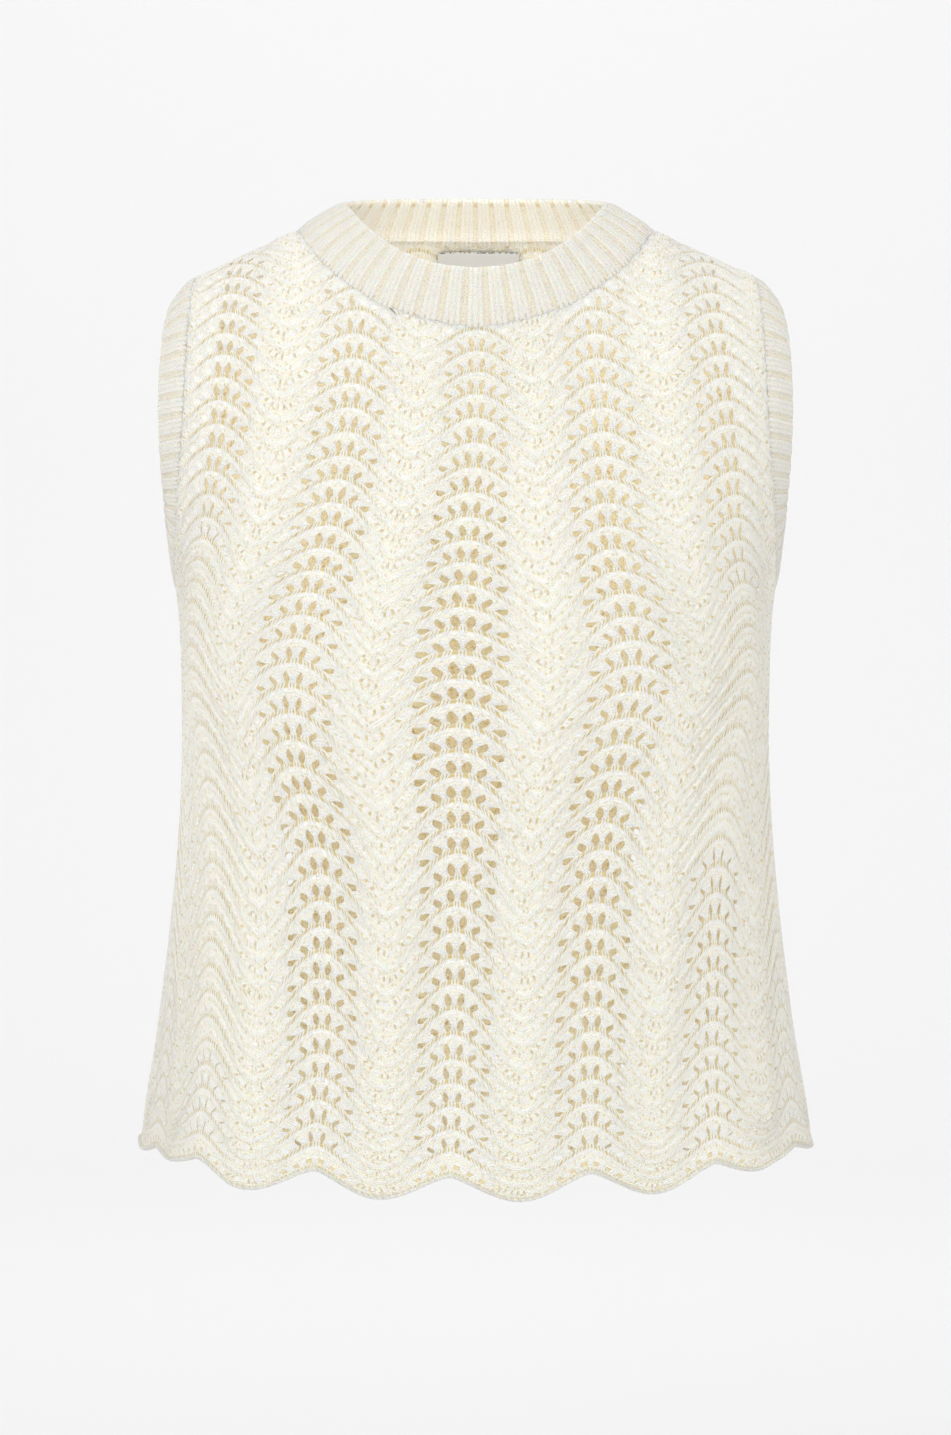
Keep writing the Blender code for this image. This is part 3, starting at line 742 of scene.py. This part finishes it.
def lace_panel(name, side):
    """One panel of lace as a closed shell, in its worn shape."""
    grid = lace_grid()
    share = eyelet_share(side, grid)
    angle, level = grid_on_cloth(side, grid, share)
    flat = np.column_stack([angle * ALONG_DEGREE, level])
    nearest, distance, inside = cut_to(panel_outline(side), flat)
    flat[~inside] = nearest[~inside]
    angle = flat[:, 0] / ALONG_DEGREE
    level = flat[:, 1]
    beside = beside_eyelets(side, grid, share, np.where(inside, distance, 0))
    quads = cloth_quads(grid, inside, beside)
    if side > 0:
        quads = quads[:, ::-1]
    outer, inner = lace_relief(grid, share, beside, inside, distance)
    out = out_of_body(side, angle, level)
    base = on_body(side, angle, level) + out * folds(angle, level)[:, None]
    points = np.concatenate([base + out * outer[:, None], base + out * inner[:, None]])
    uv = np.column_stack([grid.fan * STITCHES, grid.row * COURSES])
    # Painted shade on the inner face: full low down, weaker towards the top, where light from the
    # neck reaches.
    shade = np.clip((PALE_FROM - level) / PALE_OVER, PALEST, 1)
    shut = np.where(grid.row < HEM_CLOSED_TO, 1, SHUT_SHARE * (share <= LEAST_SHARE))
    fields = {
        "inside": np.concatenate([0 * level, shade]),
        "fan": np.tile(grid.in_fan, 2),
        "hem": np.tile((~grid.in_lace).astype(float), 2),
        "shut": np.tile(grid.in_lace * shut, 2),
    }
    faces = shell_faces(quads, len(base))
    return add_piece(name, points, faces, np.concatenate([uv, uv]), fields)


front = lace_panel("front_lace", -1)
back = lace_panel("back_lace", 1)
print("front", len(front.data.polygons), "back", len(back.data.polygons))

# %% [markdown]
# ## 6. The rib bands
#
# The neckband and the two armhole bands are knitted in broad ribs: three raised columns, then a
# groove. Each is a closed ring, so its mesh is a **torus grid**: one way round the opening, the
# other way round the thickness of the band (outer face, bound-off rim, inner face, seam edge).

# %% Sizes of the bands
NECK_FRONT_RIBS = 26  # of the 48 round the neck
NECK_BAND_HEIGHT = 42.0
ARM_BAND_HEIGHT = 26.0
COURSE = 2.3
RIB_COLUMNS = 12  # grid columns for each rib
RIB_STITCHES = 4  # three knit columns and the purl column of the groove
GROOVE_HALF = 0.06  # half the flat bottom of a groove, as a part of a rib
RIB_SLOPE = 0.16  # width of each side of a groove
BAND_GROOVE = 2.0
BAND_RIB = 3.1
INNER_RIB = 0.6
# Below, parts of the height of a band are 0 at its seam and 1 at its rim.
TUCKED = (-0.09, -0.05, -0.02, 0.02)  # sections that tuck it under its panel
TUCK_THINNING = 6.5  # how fast it gets thinner there
BAND_RAMP = 0.4  # part of its height over which it grows from the thickness of the lace to its own
RAMP_START = 0.4  # share of their height that its ribs have at the seam
THIN_START = 0.62  # share of its thickness before its ribs start
RIM_FADE = 0.06  # part of its height over which its ribs fade at the rim
RIM_RIBS = 0.45  # share of them that is left on the rim
RIM_ROUNDING = 0.55  # how far the rim is rounded, as a part of its thickness
BAND_BULGE = 0.5
BAND_INSET = 0.65  # how far the inside of a band lies inside that of the panel, at the seam
LINKING_RIDGE = 2.8  # roll of yarn inside the seam
LINKING_AT = 0.09  # its middle, and its reach to both sides
SEAM_GAPS = 0.06  # reach of the small gaps along the seam
RIM_DOTS = 0.93  # place of the small gaps in the inner grooves
RIM_DOT = 0.035


# %% Mesh of a band
def rib_shape(place):
    """Height of a rib from 0 in the groove at 0.5 to 1 on its flat top."""
    from_groove = np.abs(place - np.floor(place) - 0.5)
    top = np.clip((from_groove - GROOVE_HALF) / RIB_SLOPE, 0, 1)
    return top * top * (3 - 2 * top)


def ring_faces(points, sections):
    """Quads of a torus grid, facing out: the sum of a . (b x c) over its triangles is positive."""
    a = np.arange(len(points)).reshape(sections, -1)
    b = np.roll(a, -1, axis=1)
    c, d = np.roll(b, -1, axis=0), np.roll(a, -1, axis=0)
    faces = np.stack([a, b, c, d], axis=-1).reshape(-1, 4)
    corners = points[faces]
    volume = (corners[:, 0] * np.cross(corners[:, 1], corners[:, 2])).sum()
    volume += (corners[:, 0] * np.cross(corners[:, 2], corners[:, 3])).sum()
    return faces if volume > 0 else faces[:, ::-1]


def rib_band(name, seam, out_at_seam, rim, height):
    """A ribbed ring from a seam loop to a rim loop, both with RIB_COLUMNS points for each rib.

    The middle surface runs straight from seam to rim with a bulge of sin(pi s). The section goes
    up the outer face, over half a circle at the rim, and down the inner face.
    """
    count = len(seam)
    across = rim - seam
    length = np.linalg.norm(across, axis=1)
    along = np.roll(rim, -1, axis=0) - np.roll(rim, 1, axis=0)
    out_at_rim = unit(np.cross(along, across))
    if (out_at_rim * out_at_seam).sum() < 0:
        out_at_rim = -out_at_rim
    place = np.arange(count) / RIB_COLUMNS
    outer_rib = rib_shape(place)
    inner_rib = rib_shape(place + 0.5)
    rise = np.concatenate([TUCKED, np.linspace(0.07, 1, 13)])
    turn = np.linspace(0, np.pi, 7)[1:-1]
    up = np.concatenate([rise, 1 + 0 * turn, rise[::-1]])
    outside = np.concatenate([1 + 0 * rise, 0.5 + 0.5 * np.cos(turn), 0 * rise])
    cap = np.concatenate([0 * rise, np.sin(turn), 0 * rise])
    linking = np.exp(-(((up - LINKING_AT) / LINKING_AT) ** 2)) * (1 - outside)
    rings = []
    for s, o, c, link in zip(up, outside, cap, linking):
        out = unit(out_at_seam + (out_at_rim - out_at_seam) * s)
        fade = min(1, (1 - s) / RIM_FADE + RIM_RIBS)
        start = min(1, max(0, RAMP_START + s / BAND_RAMP))
        outer = BAND_GROOVE + (BAND_RIB - BAND_GROOVE) * outer_rib * fade * start
        outer = outer * (THIN_START + (1 - THIN_START) * start) * (1 + TUCK_THINNING * min(s, 0))
        inner = -INNER_RIB * inner_rib * fade * (1 - link)
        inner = inner - LINKING_RIDGE * link - BAND_INSET * (1 - s)
        lift = o * outer + (1 - o) * inner + BAND_BULGE * math.sin(math.pi * min(s, 1))
        tip = RIM_ROUNDING * (outer - inner) / length
        along_band = (s * (1 - tip) + c * tip)[:, None]
        rings.append(seam + across * along_band + out * lift[:, None])
    points = np.concatenate(rings)
    uv = np.column_stack([
        np.tile(place * RIB_STITCHES, len(rings)),
        np.repeat(up * (height / COURSE), count),
    ])
    rib_at = np.where(outside[:, None] > 0.5, outer_rib, inner_rib)
    dots = np.exp(-(((up - RIM_DOTS) / RIM_DOT) ** 2)) * (1 - outside)
    fields = {
        "groove": 1 - rib_at.ravel(),
        "linking": np.repeat(np.exp(-((up / SEAM_GAPS) ** 2)), count),
        "rim_dot": np.repeat(dots, count),
    }
    return add_piece(name, points, ring_faces(points, len(rings)), uv, fields)


# %% The three bands
def closed_band(name, front, back, height):
    """A rib band from two halves (seam, outward vectors, rim) with the same ends."""
    back = [values[::-1] for values in back]
    loops = [np.concatenate([a[:-1], b[:-1]]) for a, b in zip(front, back)]
    return rib_band(name, *loops, height)


def neck_half(side, edge, rim_table, ribs):
    """Seam, outward vectors and rim of one half of the neckband, from right to left."""
    count = ribs * RIB_COLUMNS // 2 + 1
    half = edge_on_cloth(side, edge, count)
    angle, level = np.concatenate([half[:0:-1] * (-1, 1), half]).T
    rim = resample(np.array(rim_table[1:]) * (1, side, 1), count)
    rim = np.concatenate([rim[:0:-1] * (-1, 1, 1), rim])
    return on_body(side, angle, level), out_of_body(side, angle, level), rim


def arm_half(side, hand):
    """The same of an armhole band, from the shoulder down; hand is the sign of its X."""
    count = ARM_RIBS * RIB_COLUMNS // 2 + 1
    angle, level = (edge_on_cloth(side, ARMHOLE, count) * (hand, 1)).T
    rim = resample(np.array(ARM_RIM[1:]) * (hand, side, 1), count, ARM_RIM_PACE)
    return on_body(side, angle, level), out_of_body(side, angle, level), rim


front_half = neck_half(-1, FRONT_NECK, FRONT_RIM, NECK_FRONT_RIBS)
back_half = neck_half(1, BACK_NECK, BACK_RIM, NECK_RIBS - NECK_FRONT_RIBS)
neckband = closed_band("neck_rib", front_half, back_half, NECK_BAND_HEIGHT)
arm_right, arm_left = (
    closed_band(name, arm_half(-1, hand), arm_half(1, hand), ARM_BAND_HEIGHT)
    for name, hand in (("arm_rib_right", -1), ("arm_rib_left", 1))
)
print("bands", [len(p.data.polygons) for p in (neckband, arm_right, arm_left)])

# %% [markdown]
# ## 7. The label
#
# A small woven satin label is sewn by its top edge inside the back of the neck. It is a thin
# curved sheet that follows the back panel, and it is blank.

# %% Label
LABEL_WIDTH = 47.0
LABEL_HEIGHT = 38.0
LABEL_THICKNESS = 0.6
LABEL_CLEAR = 2.6  # how far it stands off the panel at its top
LABEL_LIFT = 1.2  # how much further it stands off at its bottom
LABEL_RIPPLE = 0.25
LABEL_TOP = 18.0
LABEL_OFFSET = 1.7  # to the wearer's left
LABEL_RADIUS = 216.0  # millimetres of cloth for each radian round the body there, about
LABEL_ACROSS, LABEL_DOWN = 41, 25
LABEL_EDGES = 22.0  # its edges get thinner over one of this many parts of it
LABEL_EDGE_SHARE = 0.35


def neck_label():
    """A grid that follows the back panel, closed into a thin shell with soft edges.

    It stands off its panel by clear + lift t ** 2 + ripple sin(5 s + 1), with s from -1 to 1
    across it and t from 0 to 1 down it.
    """
    half = math.degrees(LABEL_WIDTH / 2 / LABEL_RADIUS)
    s, t = np.meshgrid(np.linspace(-1, 1, LABEL_ACROSS), np.linspace(0, 1, LABEL_DOWN))
    s, t = s.ravel(), t.ravel()
    angle = (s + 2 * LABEL_OFFSET / LABEL_WIDTH) * half
    level = LABEL_TOP - LABEL_HEIGHT * t
    base = on_body(1, angle, level)
    out = out_of_body(1, angle, level)
    edge = np.clip(np.minimum(1 - np.abs(s), np.minimum(t, 1 - t)) * LABEL_EDGES, 0, 1)
    thick = LABEL_THICKNESS * (LABEL_EDGE_SHARE + (1 - LABEL_EDGE_SHARE) * edge)
    near = LABEL_CLEAR + LABEL_LIFT * t**2 + LABEL_RIPPLE * np.sin(s * 5 + 1)
    points = np.concatenate([base - out * (near + thick)[:, None], base - out * near[:, None]])
    ids = np.arange(len(s)).reshape(LABEL_DOWN, LABEL_ACROSS)
    quads = np.stack([ids[1:, :-1], ids[1:, 1:], ids[:-1, 1:], ids[:-1, :-1]], axis=-1)
    quads = quads.reshape(-1, 4)
    a, b, c = (points[quads[0, i]] for i in range(3))
    if np.cross(b - a, c - a) @ out[0] > 0:
        quads = quads[:, ::-1]
    uv = np.column_stack([s * LABEL_WIDTH / 2, -t * LABEL_HEIGHT])
    faces = shell_faces(quads, len(base))
    return add_piece("label_satin", points, faces, np.concatenate([uv, uv]), {})


label = neck_label()

# %% [markdown]
# ## 8. Materials
#
# The yarn is a soft cotton in cream. At this size the eye sees the twisted legs of each stitch,
# the purl bumps of the ridges and small gaps at the corners of the stitches, where the shade
# inside shows. Shade is painted into the colour: warmer valleys, lines and grooves, a warmer
# inside, and the gaps in the tan of the shade inside. The pattern reads the `stitches` UV map,
# where 1 unit is one stitch across and one course up, so it stretches with the lace.


# %% Colour and node helpers
def linear(code):
    """A linear colour from an sRGB hex code.

    Each part c becomes c / 12.92 up to 0.04045, and ((c + 0.055) / 1.055) ** 2.4 above.
    """
    parts = [int(code[i : i + 2], 16) / 255 for i in (1, 3, 5)]
    return (*(c / 12.92 if c <= 0.04045 else ((c + 0.055) / 1.055) ** 2.4 for c in parts), 1.0)


def add(tree, kind, wires=None, **settings):
    """Adds a node, sets its settings, and links or fills its inputs by name or number."""
    node = tree.nodes.new("ShaderNode" + kind)
    for key, value in settings.items():
        setattr(node, key, value)
    for socket, value in (wires or {}).items():
        if isinstance(value, bpy.types.Node):
            value = value.outputs[0]
        if isinstance(value, bpy.types.NodeSocket):
            tree.links.new(value, node.inputs[socket])
        else:
            node.inputs[socket].default_value = value
    return node


def new_material(name, roughness, **sockets):
    """A material with its Principled shader, whose plain values are set on its own sockets."""
    made = bpy.data.materials.new(name)
    made.use_nodes = True
    shader = made.node_tree.nodes["Principled BSDF"]
    shader.inputs["Roughness"].default_value = roughness
    for key, value in sockets.items():
        shader.inputs[key.replace("_", " ")].default_value = value
    return made, made.node_tree, shader


# %% Yarn
CREAM = linear("#FEFAF3")
WARM_SHADE = linear("#F4E7C9")  # painted shade, the cream of the cloth in shade: the lines beside the ridges, and the inside
GAP = linear("#DAC896")  # small gaps between stitches, where the shade inside shows
SOFT = {"interpolation_type": "SMOOTHSTEP"}
FLAT = {"voronoi_dimensions": "2D"}
# How strongly each part of the knit is painted with shade, from 0 to 1.
VALLEY_SHADE = 0.2  # painted shade between the loops
LINE_SHADE = 0.24  # painted shade beside the ridges
INSIDE_SHADE = 0.75  # painted shade on the inner face of the lace
TICK_STRENGTH = 1.0  # short gaps under the eyelets, painted in the shade inside
SPECK_STRENGTH = 0.5  # small gaps in the solid parts, painted in the shade inside
SLIT_STRENGTH = 0.85  # gaps beside the stitches that are knitted together, painted in the shade inside
SHUT_STRENGTH = 0.7  # eyelets that are pulled shut, as painted slits of shade
# Painted shade in the grooves of the bands, and between their columns.
GROOVE_SHADE = 0.32
COLUMN_SHADE = 0.18


def near(tree, value, centre, reach, strength=1.0):
    """Strength where a value is at a centre, falling smoothly to 0 where it is reach away."""
    off = add(tree, "Math", {0: value, 1: centre}, operation="SUBTRACT")
    off = add(tree, "Math", {0: off}, operation="ABSOLUTE")
    return add(tree, "MapRange", {0: off, 1: reach, 2: 0.25 * reach, 4: strength}, **SOFT)


def product(tree, *factors):
    """The product of two or more values."""
    made = factors[0]
    for factor in factors[1:]:
        made = add(tree, "Math", {0: made, 1: factor}, operation="MULTIPLY")
    return made


def yarn(name):
    """A new cotton material with what every knit of this yarn has.

    Loops are Voronoi cells half a stitch wide, high in the middle. Legs of the knit stitches are
    cos of the distance from |x| = 0.25 + 0.18 y. Wales are cos(2 pi u). Specks are a few small
    cells 0.7 stitch wide, each with a chance of its own.
    """
    soft = {"Subsurface_Radius": (1.0, 0.8, 0.55), "Subsurface_Scale": 0.003}
    made, tree, shader = new_material(name, 0.9, Subsurface_Weight=0.6, **soft)
    uv = add(tree, "UVMap", uv_map="stitches")
    split = add(tree, "SeparateXYZ", {0: uv})
    u, v = split.outputs[0], split.outputs[1]
    loops = add(tree, "TexVoronoi", {"Vector": uv, "Scale": 2.0, "Randomness": 0.6}, **FLAT)
    aside = add(tree, "Math", {0: u, 1: 0.5}, operation="PINGPONG")
    up = add(tree, "Math", {0: v, 1: 0.5, 2: -0.5}, operation="WRAP")
    lean = add(tree, "Math", {0: up, 1: 0.18, 2: 0.25}, operation="MULTIPLY_ADD")
    off = add(tree, "Math", {0: aside, 1: lean}, operation="SUBTRACT")
    leg = add(tree, "Math", {0: product(tree, off, 9.0)}, operation="COSINE")
    wale = add(tree, "Math", {0: product(tree, u, 2 * math.pi)}, operation="COSINE")
    stretched = add(tree, "VectorMath", {0: uv, 1: (1.25, 0.85, 0.0)}, operation="MULTIPLY")
    cells = {"Vector": stretched, "Scale": 1.2, "Randomness": 0.85}
    speck = add(tree, "TexVoronoi", cells, **FLAT)
    small = add(tree, "MapRange", {0: speck.outputs["Distance"], 1: 0.3, 2: 0.16}, **SOFT)
    chance = add(tree, "SeparateXYZ", {0: speck.outputs["Color"]}).outputs[0]
    parts = {"uv": uv, "u": u, "v": v, "loops": loops, "leg": leg, "wale": wale}
    return made, tree, shader, {**parts, "speck": small, "chance": chance}


def finish_yarn(tree, shader, parts, painted_shade, shaded_gaps, height):
    """Joins the colours and the relief of a cotton: cream, warmer valleys of painted shade, and
    gaps painted in the tan of the shade inside.
    """
    valley_shade = add(tree, "MapRange", {0: parts["loops"], 1: 0.22, 2: 0.5, 4: VALLEY_SHADE}, **SOFT)
    # Painted shade: the cream is mixed towards the colour of the cloth in shade.
    shade_amount = add(tree, "Math", {0: painted_shade, 1: valley_shade}, operation="ADD", use_clamp=True)
    body = add(tree, "Mix", {0: shade_amount, 6: CREAM, 7: WARM_SHADE}, data_type="RGBA").outputs[2]
    colour = add(tree, "Mix", {0: shaded_gaps, 6: body, 7: GAP}, data_type="RGBA").outputs[2]
    tree.links.new(colour, shader.inputs["Base Color"])
    # Fibres, about 0.8 mm long, stand off the yarn.
    place = add(tree, "TexCoord").outputs["Object"]
    fibre = add(tree, "TexNoise", {"Vector": place, "Scale": 1300.0, "Detail": 2.0})
    for value, factor in ((parts["loops"], -2.6), (parts["leg"], 0.35), (fibre, 0.5), (shaded_gaps, -1.5)):
        height = add(tree, "Math", {0: value, 1: factor, 2: height}, operation="MULTIPLY_ADD")
    bump = add(tree, "Bump", {"Strength": 0.85, "Distance": 0.0005, "Height": height})
    tree.links.new(bump.outputs[0], shader.inputs["Normal"])


# %% Cotton of the lace
def lace_yarn():
    """The cotton of the lace.

    Below each row of eyelets, 1.4 courses down, short ticks radiate, three to every two stitches.
    In the solid parts specks lie along two lines to a row, 1.05 courses from its middle, and some
    between. Ticks, specks and slits are small gaps, painted in the tan of the shade inside. The
    bound-off roll of the hem has one slanted stitch after another.
    """
    made, tree, shader, parts = yarn("cream_cotton_lace")
    fan, hem, inside, shut = (
        add(tree, "Attribute", attribute_name=name).outputs["Fac"]
        for name in ("fan", "hem", "inside", "shut")
    )
    solid = add(tree, "Math", {0: 1.0, 1: fan}, operation="SUBTRACT")
    in_lace = add(tree, "Math", {0: 1.0, 1: hem}, operation="SUBTRACT")
    # Courses from the middle of the eyelets: 0 on them, 2 on the ridge.
    away = add(tree, "Math", {0: parts["v"], 1: 2.0, 2: -2.0}, operation="WRAP")
    apart = add(tree, "Math", {0: away}, operation="ABSOLUTE")
    radial = add(tree, "Math", {0: product(tree, parts["u"], 3 * math.pi)}, operation="COSINE")
    radial = add(tree, "MapRange", {0: radial, 1: -0.35, 2: -0.9}, **SOFT)
    ticks = product(tree, near(tree, away, -1.4, 0.6, TICK_STRENGTH), radial, fan)
    lines = near(tree, apart, 1.05, 0.7, 0.4)
    likely = add(tree, "Math", {0: lines, 1: product(tree, solid, 0.24)}, operation="ADD")
    likely = add(tree, "Math", {0: parts["chance"], 1: likely}, operation="ADD")
    likely = add(tree, "MapRange", {0: likely, 1: 0.95, 2: 1.05, 4: SPECK_STRENGTH})
    specks = product(tree, likely, parts["speck"])
    # In the troughs stitches are knitted together, with a slit beside each, painted in the tan of
    # the shade inside.
    between = near(tree, parts["wale"], -1.0, 0.7)
    cell = add(tree, "VectorMath", {0: parts["uv"], 1: (0.0, 0.5, 0.0)}, operation="ADD")
    cell = add(tree, "VectorMath", {0: cell}, operation="FLOOR")
    luck = add(tree, "TexWhiteNoise", {0: cell}, noise_dimensions="2D")
    luck = add(tree, "MapRange", {0: luck, 1: 0.3, 2: 0.7, 4: SLIT_STRENGTH})
    pulled = product(tree, near(tree, away, 0.0, 0.75), between, solid, luck)
    specks = add(tree, "Math", {0: specks, 1: pulled}, operation="MAXIMUM")
    shaded_gaps = add(tree, "Math", {0: ticks, 1: specks}, operation="MAXIMUM")
    # An eyelet that is pulled shut still shows a slit, at every odd stitch, painted in the tan of
    # the shade inside.
    odd = add(tree, "Math", {0: product(tree, parts["u"], math.pi)}, operation="COSINE")
    odd = near(tree, odd, -1.0, 0.25)
    slits = product(tree, near(tree, away, -0.2, 0.7, SHUT_STRENGTH), odd, fan, shut)
    shaded_gaps = add(tree, "Math", {0: shaded_gaps, 1: slits}, operation="MAXIMUM")
    shaded_gaps = product(tree, shaded_gaps, in_lace)
    # Painted shade: on the inner face of the lace, and in lines beside the ridges.
    painted_shade = {0: inside, 1: INSIDE_SHADE, 2: near(tree, apart, 1.05, 0.75, LINE_SHADE)}
    painted_shade = add(tree, "Math", painted_shade, operation="MULTIPLY_ADD")
    slant = add(tree, "Math", {0: parts["v"], 1: 2.2, 2: parts["u"]}, operation="MULTIPLY_ADD")
    slant = add(tree, "Math", {0: product(tree, slant, 2 * math.pi)}, operation="COSINE")
    finish_yarn(tree, shader, parts, painted_shade, shaded_gaps, product(tree, slant, hem, 2.0))
    return made


# %% Cotton of the bands
def rib_yarn():
    """The cotton of the bands: three knit columns to a rib, then a softer groove with painted
    shade in it.

    Thin valleys, with painted shade in them, part the columns where cos(2 pi u) is lowest. Small
    gaps stand along the seam and at the top of each inner groove, painted in the tan of the shade
    inside.
    """
    made, tree, shader, parts = yarn("cream_cotton_rib")
    groove, linking, rim_dot = (
        add(tree, "Attribute", attribute_name=name).outputs["Fac"]
        for name in ("groove", "linking", "rim_dot")
    )
    between = add(tree, "MapRange", {0: parts["wale"], 1: -0.5, 2: -1.0}, **SOFT)
    likely = add(tree, "MapRange", {0: parts["chance"], 1: 0.3, 2: 0.7})
    holes = product(tree, linking, likely, between, 0.7)
    deep = near(tree, groove, 1.0, 0.6)
    dots = product(tree, deep, parts["speck"], likely, 0.45)
    shaded_gaps = add(tree, "Math", {0: holes, 1: dots}, operation="MAXIMUM")
    shaded_gaps = add(tree, "Math", {0: shaded_gaps, 1: product(tree, rim_dot, deep, 0.75)}, operation="MAXIMUM")
    # Painted shade: in the grooves, and in the valleys between the columns.
    painted_shade = {0: groove, 1: GROOVE_SHADE, 2: product(tree, between, COLUMN_SHADE)}
    painted_shade = add(tree, "Math", painted_shade, operation="MULTIPLY_ADD")
    finish_yarn(tree, shader, parts, painted_shade, shaded_gaps, product(tree, between, -1.2))
    return made


lace_cotton = lace_yarn()
rib_cotton = rib_yarn()

# %% Label material
# Woven polyester satin: fine ribs of warp 0.35 mm apart, a broad soft shine. A dark broken line
# runs 0.3 mm below its top edge: the dark thread that sews it down in broken stitches, and the
# painted shadow under the linking roll above it.
satin, tree, shader = new_material("grey_woven_satin", 0.42, Sheen_Weight=0.15)
uv = add(tree, "UVMap", uv_map="stitches")
split = add(tree, "SeparateXYZ", {0: uv})
# Painted shadow under the linking roll, together with the sewing thread: a dark broken line.
thread_and_shadow = near(tree, split.outputs[1], -0.3, 0.55)
stitch = add(tree, "TexNoise", {"Vector": uv, "Scale": 0.45, "Detail": 1.0})
stitch = add(tree, "MapRange", {0: stitch, 1: 0.48, 2: 0.54})
thread_and_shadow = product(tree, thread_and_shadow, stitch)
thread_and_shadow_colours = {0: thread_and_shadow, 6: linear("#C9CACA"), 7: linear("#4A463E")}
colour = add(tree, "Mix", thread_and_shadow_colours, data_type="RGBA").outputs[2]
tree.links.new(colour, shader.inputs["Base Color"])
weave = add(tree, "TexWave", {"Vector": uv, "Scale": 0.9, "Distortion": 0.3}, bands_direction="Y")
bump = add(tree, "Bump", {"Strength": 0.15, "Distance": 0.0002, "Height": weave.outputs["Fac"]})
tree.links.new(bump.outputs[0], shader.inputs["Normal"])

# %% Dress the part
DRESSED = (
    (front, "front_panel", "cream_lace", lace_cotton),
    (back, "back_panel", "cream_lace", lace_cotton),
    (neckband, "neckband", "cream_rib", rib_cotton),
    (arm_right, "armhole_band_right", "cream_rib", rib_cotton),
    (arm_left, "armhole_band_left", "cream_rib", rib_cotton),
    (label, "neck_label", "grey_satin", satin),
)
for piece, node, slot, finish in DRESSED:
    piece.data.materials.append(finish)
    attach(piece, "root")
    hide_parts(node)

# %% [markdown]
# ## 9. Stage, light and camera
#
# The backdrop is one sheet that curves up behind the top. The light is soft: a bright surround, a
# large key light from the upper left, a weak fill from the right, and one on the wall.

# %% Stage
FLOOR = -0.95
NEAR_EDGE = -5.0
WALL = 5.2
WALL_TOP = 4.5
BEND = 1.2  # radius of the bend between floor and wall
HALF_WIDTH = 5.0


def backdrop():
    """A floor that bends up into a wall: a straight run, a quarter circle and a straight run."""
    turn = np.linspace(0, np.pi / 2, 24)
    y = np.concatenate([[NEAR_EDGE], WALL - BEND + BEND * np.sin(turn), [WALL]])
    z = np.concatenate([[FLOOR], FLOOR + BEND - BEND * np.cos(turn), [WALL_TOP]])
    x = np.array([-HALF_WIDTH, HALF_WIDTH])
    points = np.stack(np.broadcast_arrays(x[None, :], y[:, None], z[:, None]), axis=-1)
    ids = np.arange(points.size // 3).reshape(-1, 2)
    faces = np.stack([ids[:-1, 0], ids[:-1, 1], ids[1:, 1], ids[1:, 0]], axis=-1)
    mesh = bpy.data.meshes.new("backdrop")
    mesh.from_pydata(points.reshape(-1, 3).tolist(), [], faces.tolist())
    mesh.shade_smooth()
    made = bpy.data.objects.new("backdrop", mesh)
    bpy.context.scene.collection.objects.link(made)
    return made


stage = backdrop()
paper, _, _ = new_material("pale_paper", 0.95, Base_Color=linear("#F6F6F6"))
stage.data.materials.append(paper)

# %% Light
scene = bpy.context.scene
scene.view_settings.view_transform = "Standard"
scene.view_settings.look = "None"
world = bpy.data.worlds.new("studio")
scene.world = world
world.use_nodes = True
surround = world.node_tree.nodes["Background"]
surround.inputs["Color"].default_value = (1, 1, 1, 1)
surround.inputs["Strength"].default_value = 0.82


def softbox(name, place, aim, power, width, height):
    """A flat area light at a place, turned to face its aim, that the camera can't see."""
    light = bpy.data.lights.new(name, "AREA")
    light.shape = "RECTANGLE"
    light.size = width
    light.size_y = height
    light.energy = power
    made = bpy.data.objects.new(name, light)
    scene.collection.objects.link(made)
    toward = np.subtract(aim, place)
    made.location = place
    made.rotation_euler = (
        math.acos(-toward[2] / np.linalg.norm(toward)),
        0,
        math.atan2(-toward[0], toward[1]),
    )
    made.visible_camera = False


# The cotton lets light through. The four linings, inside the top, stand in for that.
LIGHTS = (
    ("name", "place", "aim", "power", "width", "height"),
    ("key", (-1.1, -2.3, 1.5), (0, 0, -0.2), 29, 1.8, 1.8),
    ("fill", (1.7, -1.8, 1.1), (0.15, 0, -0.1), 7, 1.0, 1.0),
    ("wall", (0, 2.6, 2.0), (0, 5.2, -0.3), 16, 3.0, 3.0),
    ("lining_middle", (0, 0, -0.27), (0, 1, -0.27), 0.12, 0.34, 0.46),
    ("lining_left", (-0.11, 0, -0.17), (-0.11, 1, -0.17), 0.045, 0.08, 0.24),
    ("lining_right", (0.11, 0, -0.17), (0.11, 1, -0.17), 0.045, 0.08, 0.24),
    ("lining_neck", (0, -0.03, -0.03), (0, 0.06, 0.01), 0.042, 0.08, 0.08),
)
for light in LIGHTS[1:]:
    softbox(*light)

# %% Camera
HEIGHT_SEEN = 0.8251  # metres of the object's plane from the top to the bottom of the frame
DISTANCE = 2.5
EYE_HEIGHT = -0.2774
SENSOR = 36.0
data = bpy.data.cameras.new("camera")
data.sensor_fit = "VERTICAL"
data.sensor_height = SENSOR
data.sensor_width = SENSOR
data.lens = SENSOR * DISTANCE / HEIGHT_SEEN
camera = bpy.data.objects.new("camera", data)
scene.collection.objects.link(camera)
camera.location = (0, -DISTANCE, EYE_HEIGHT)
camera.rotation_euler = (math.pi / 2, 0, 0)
scene.camera = camera
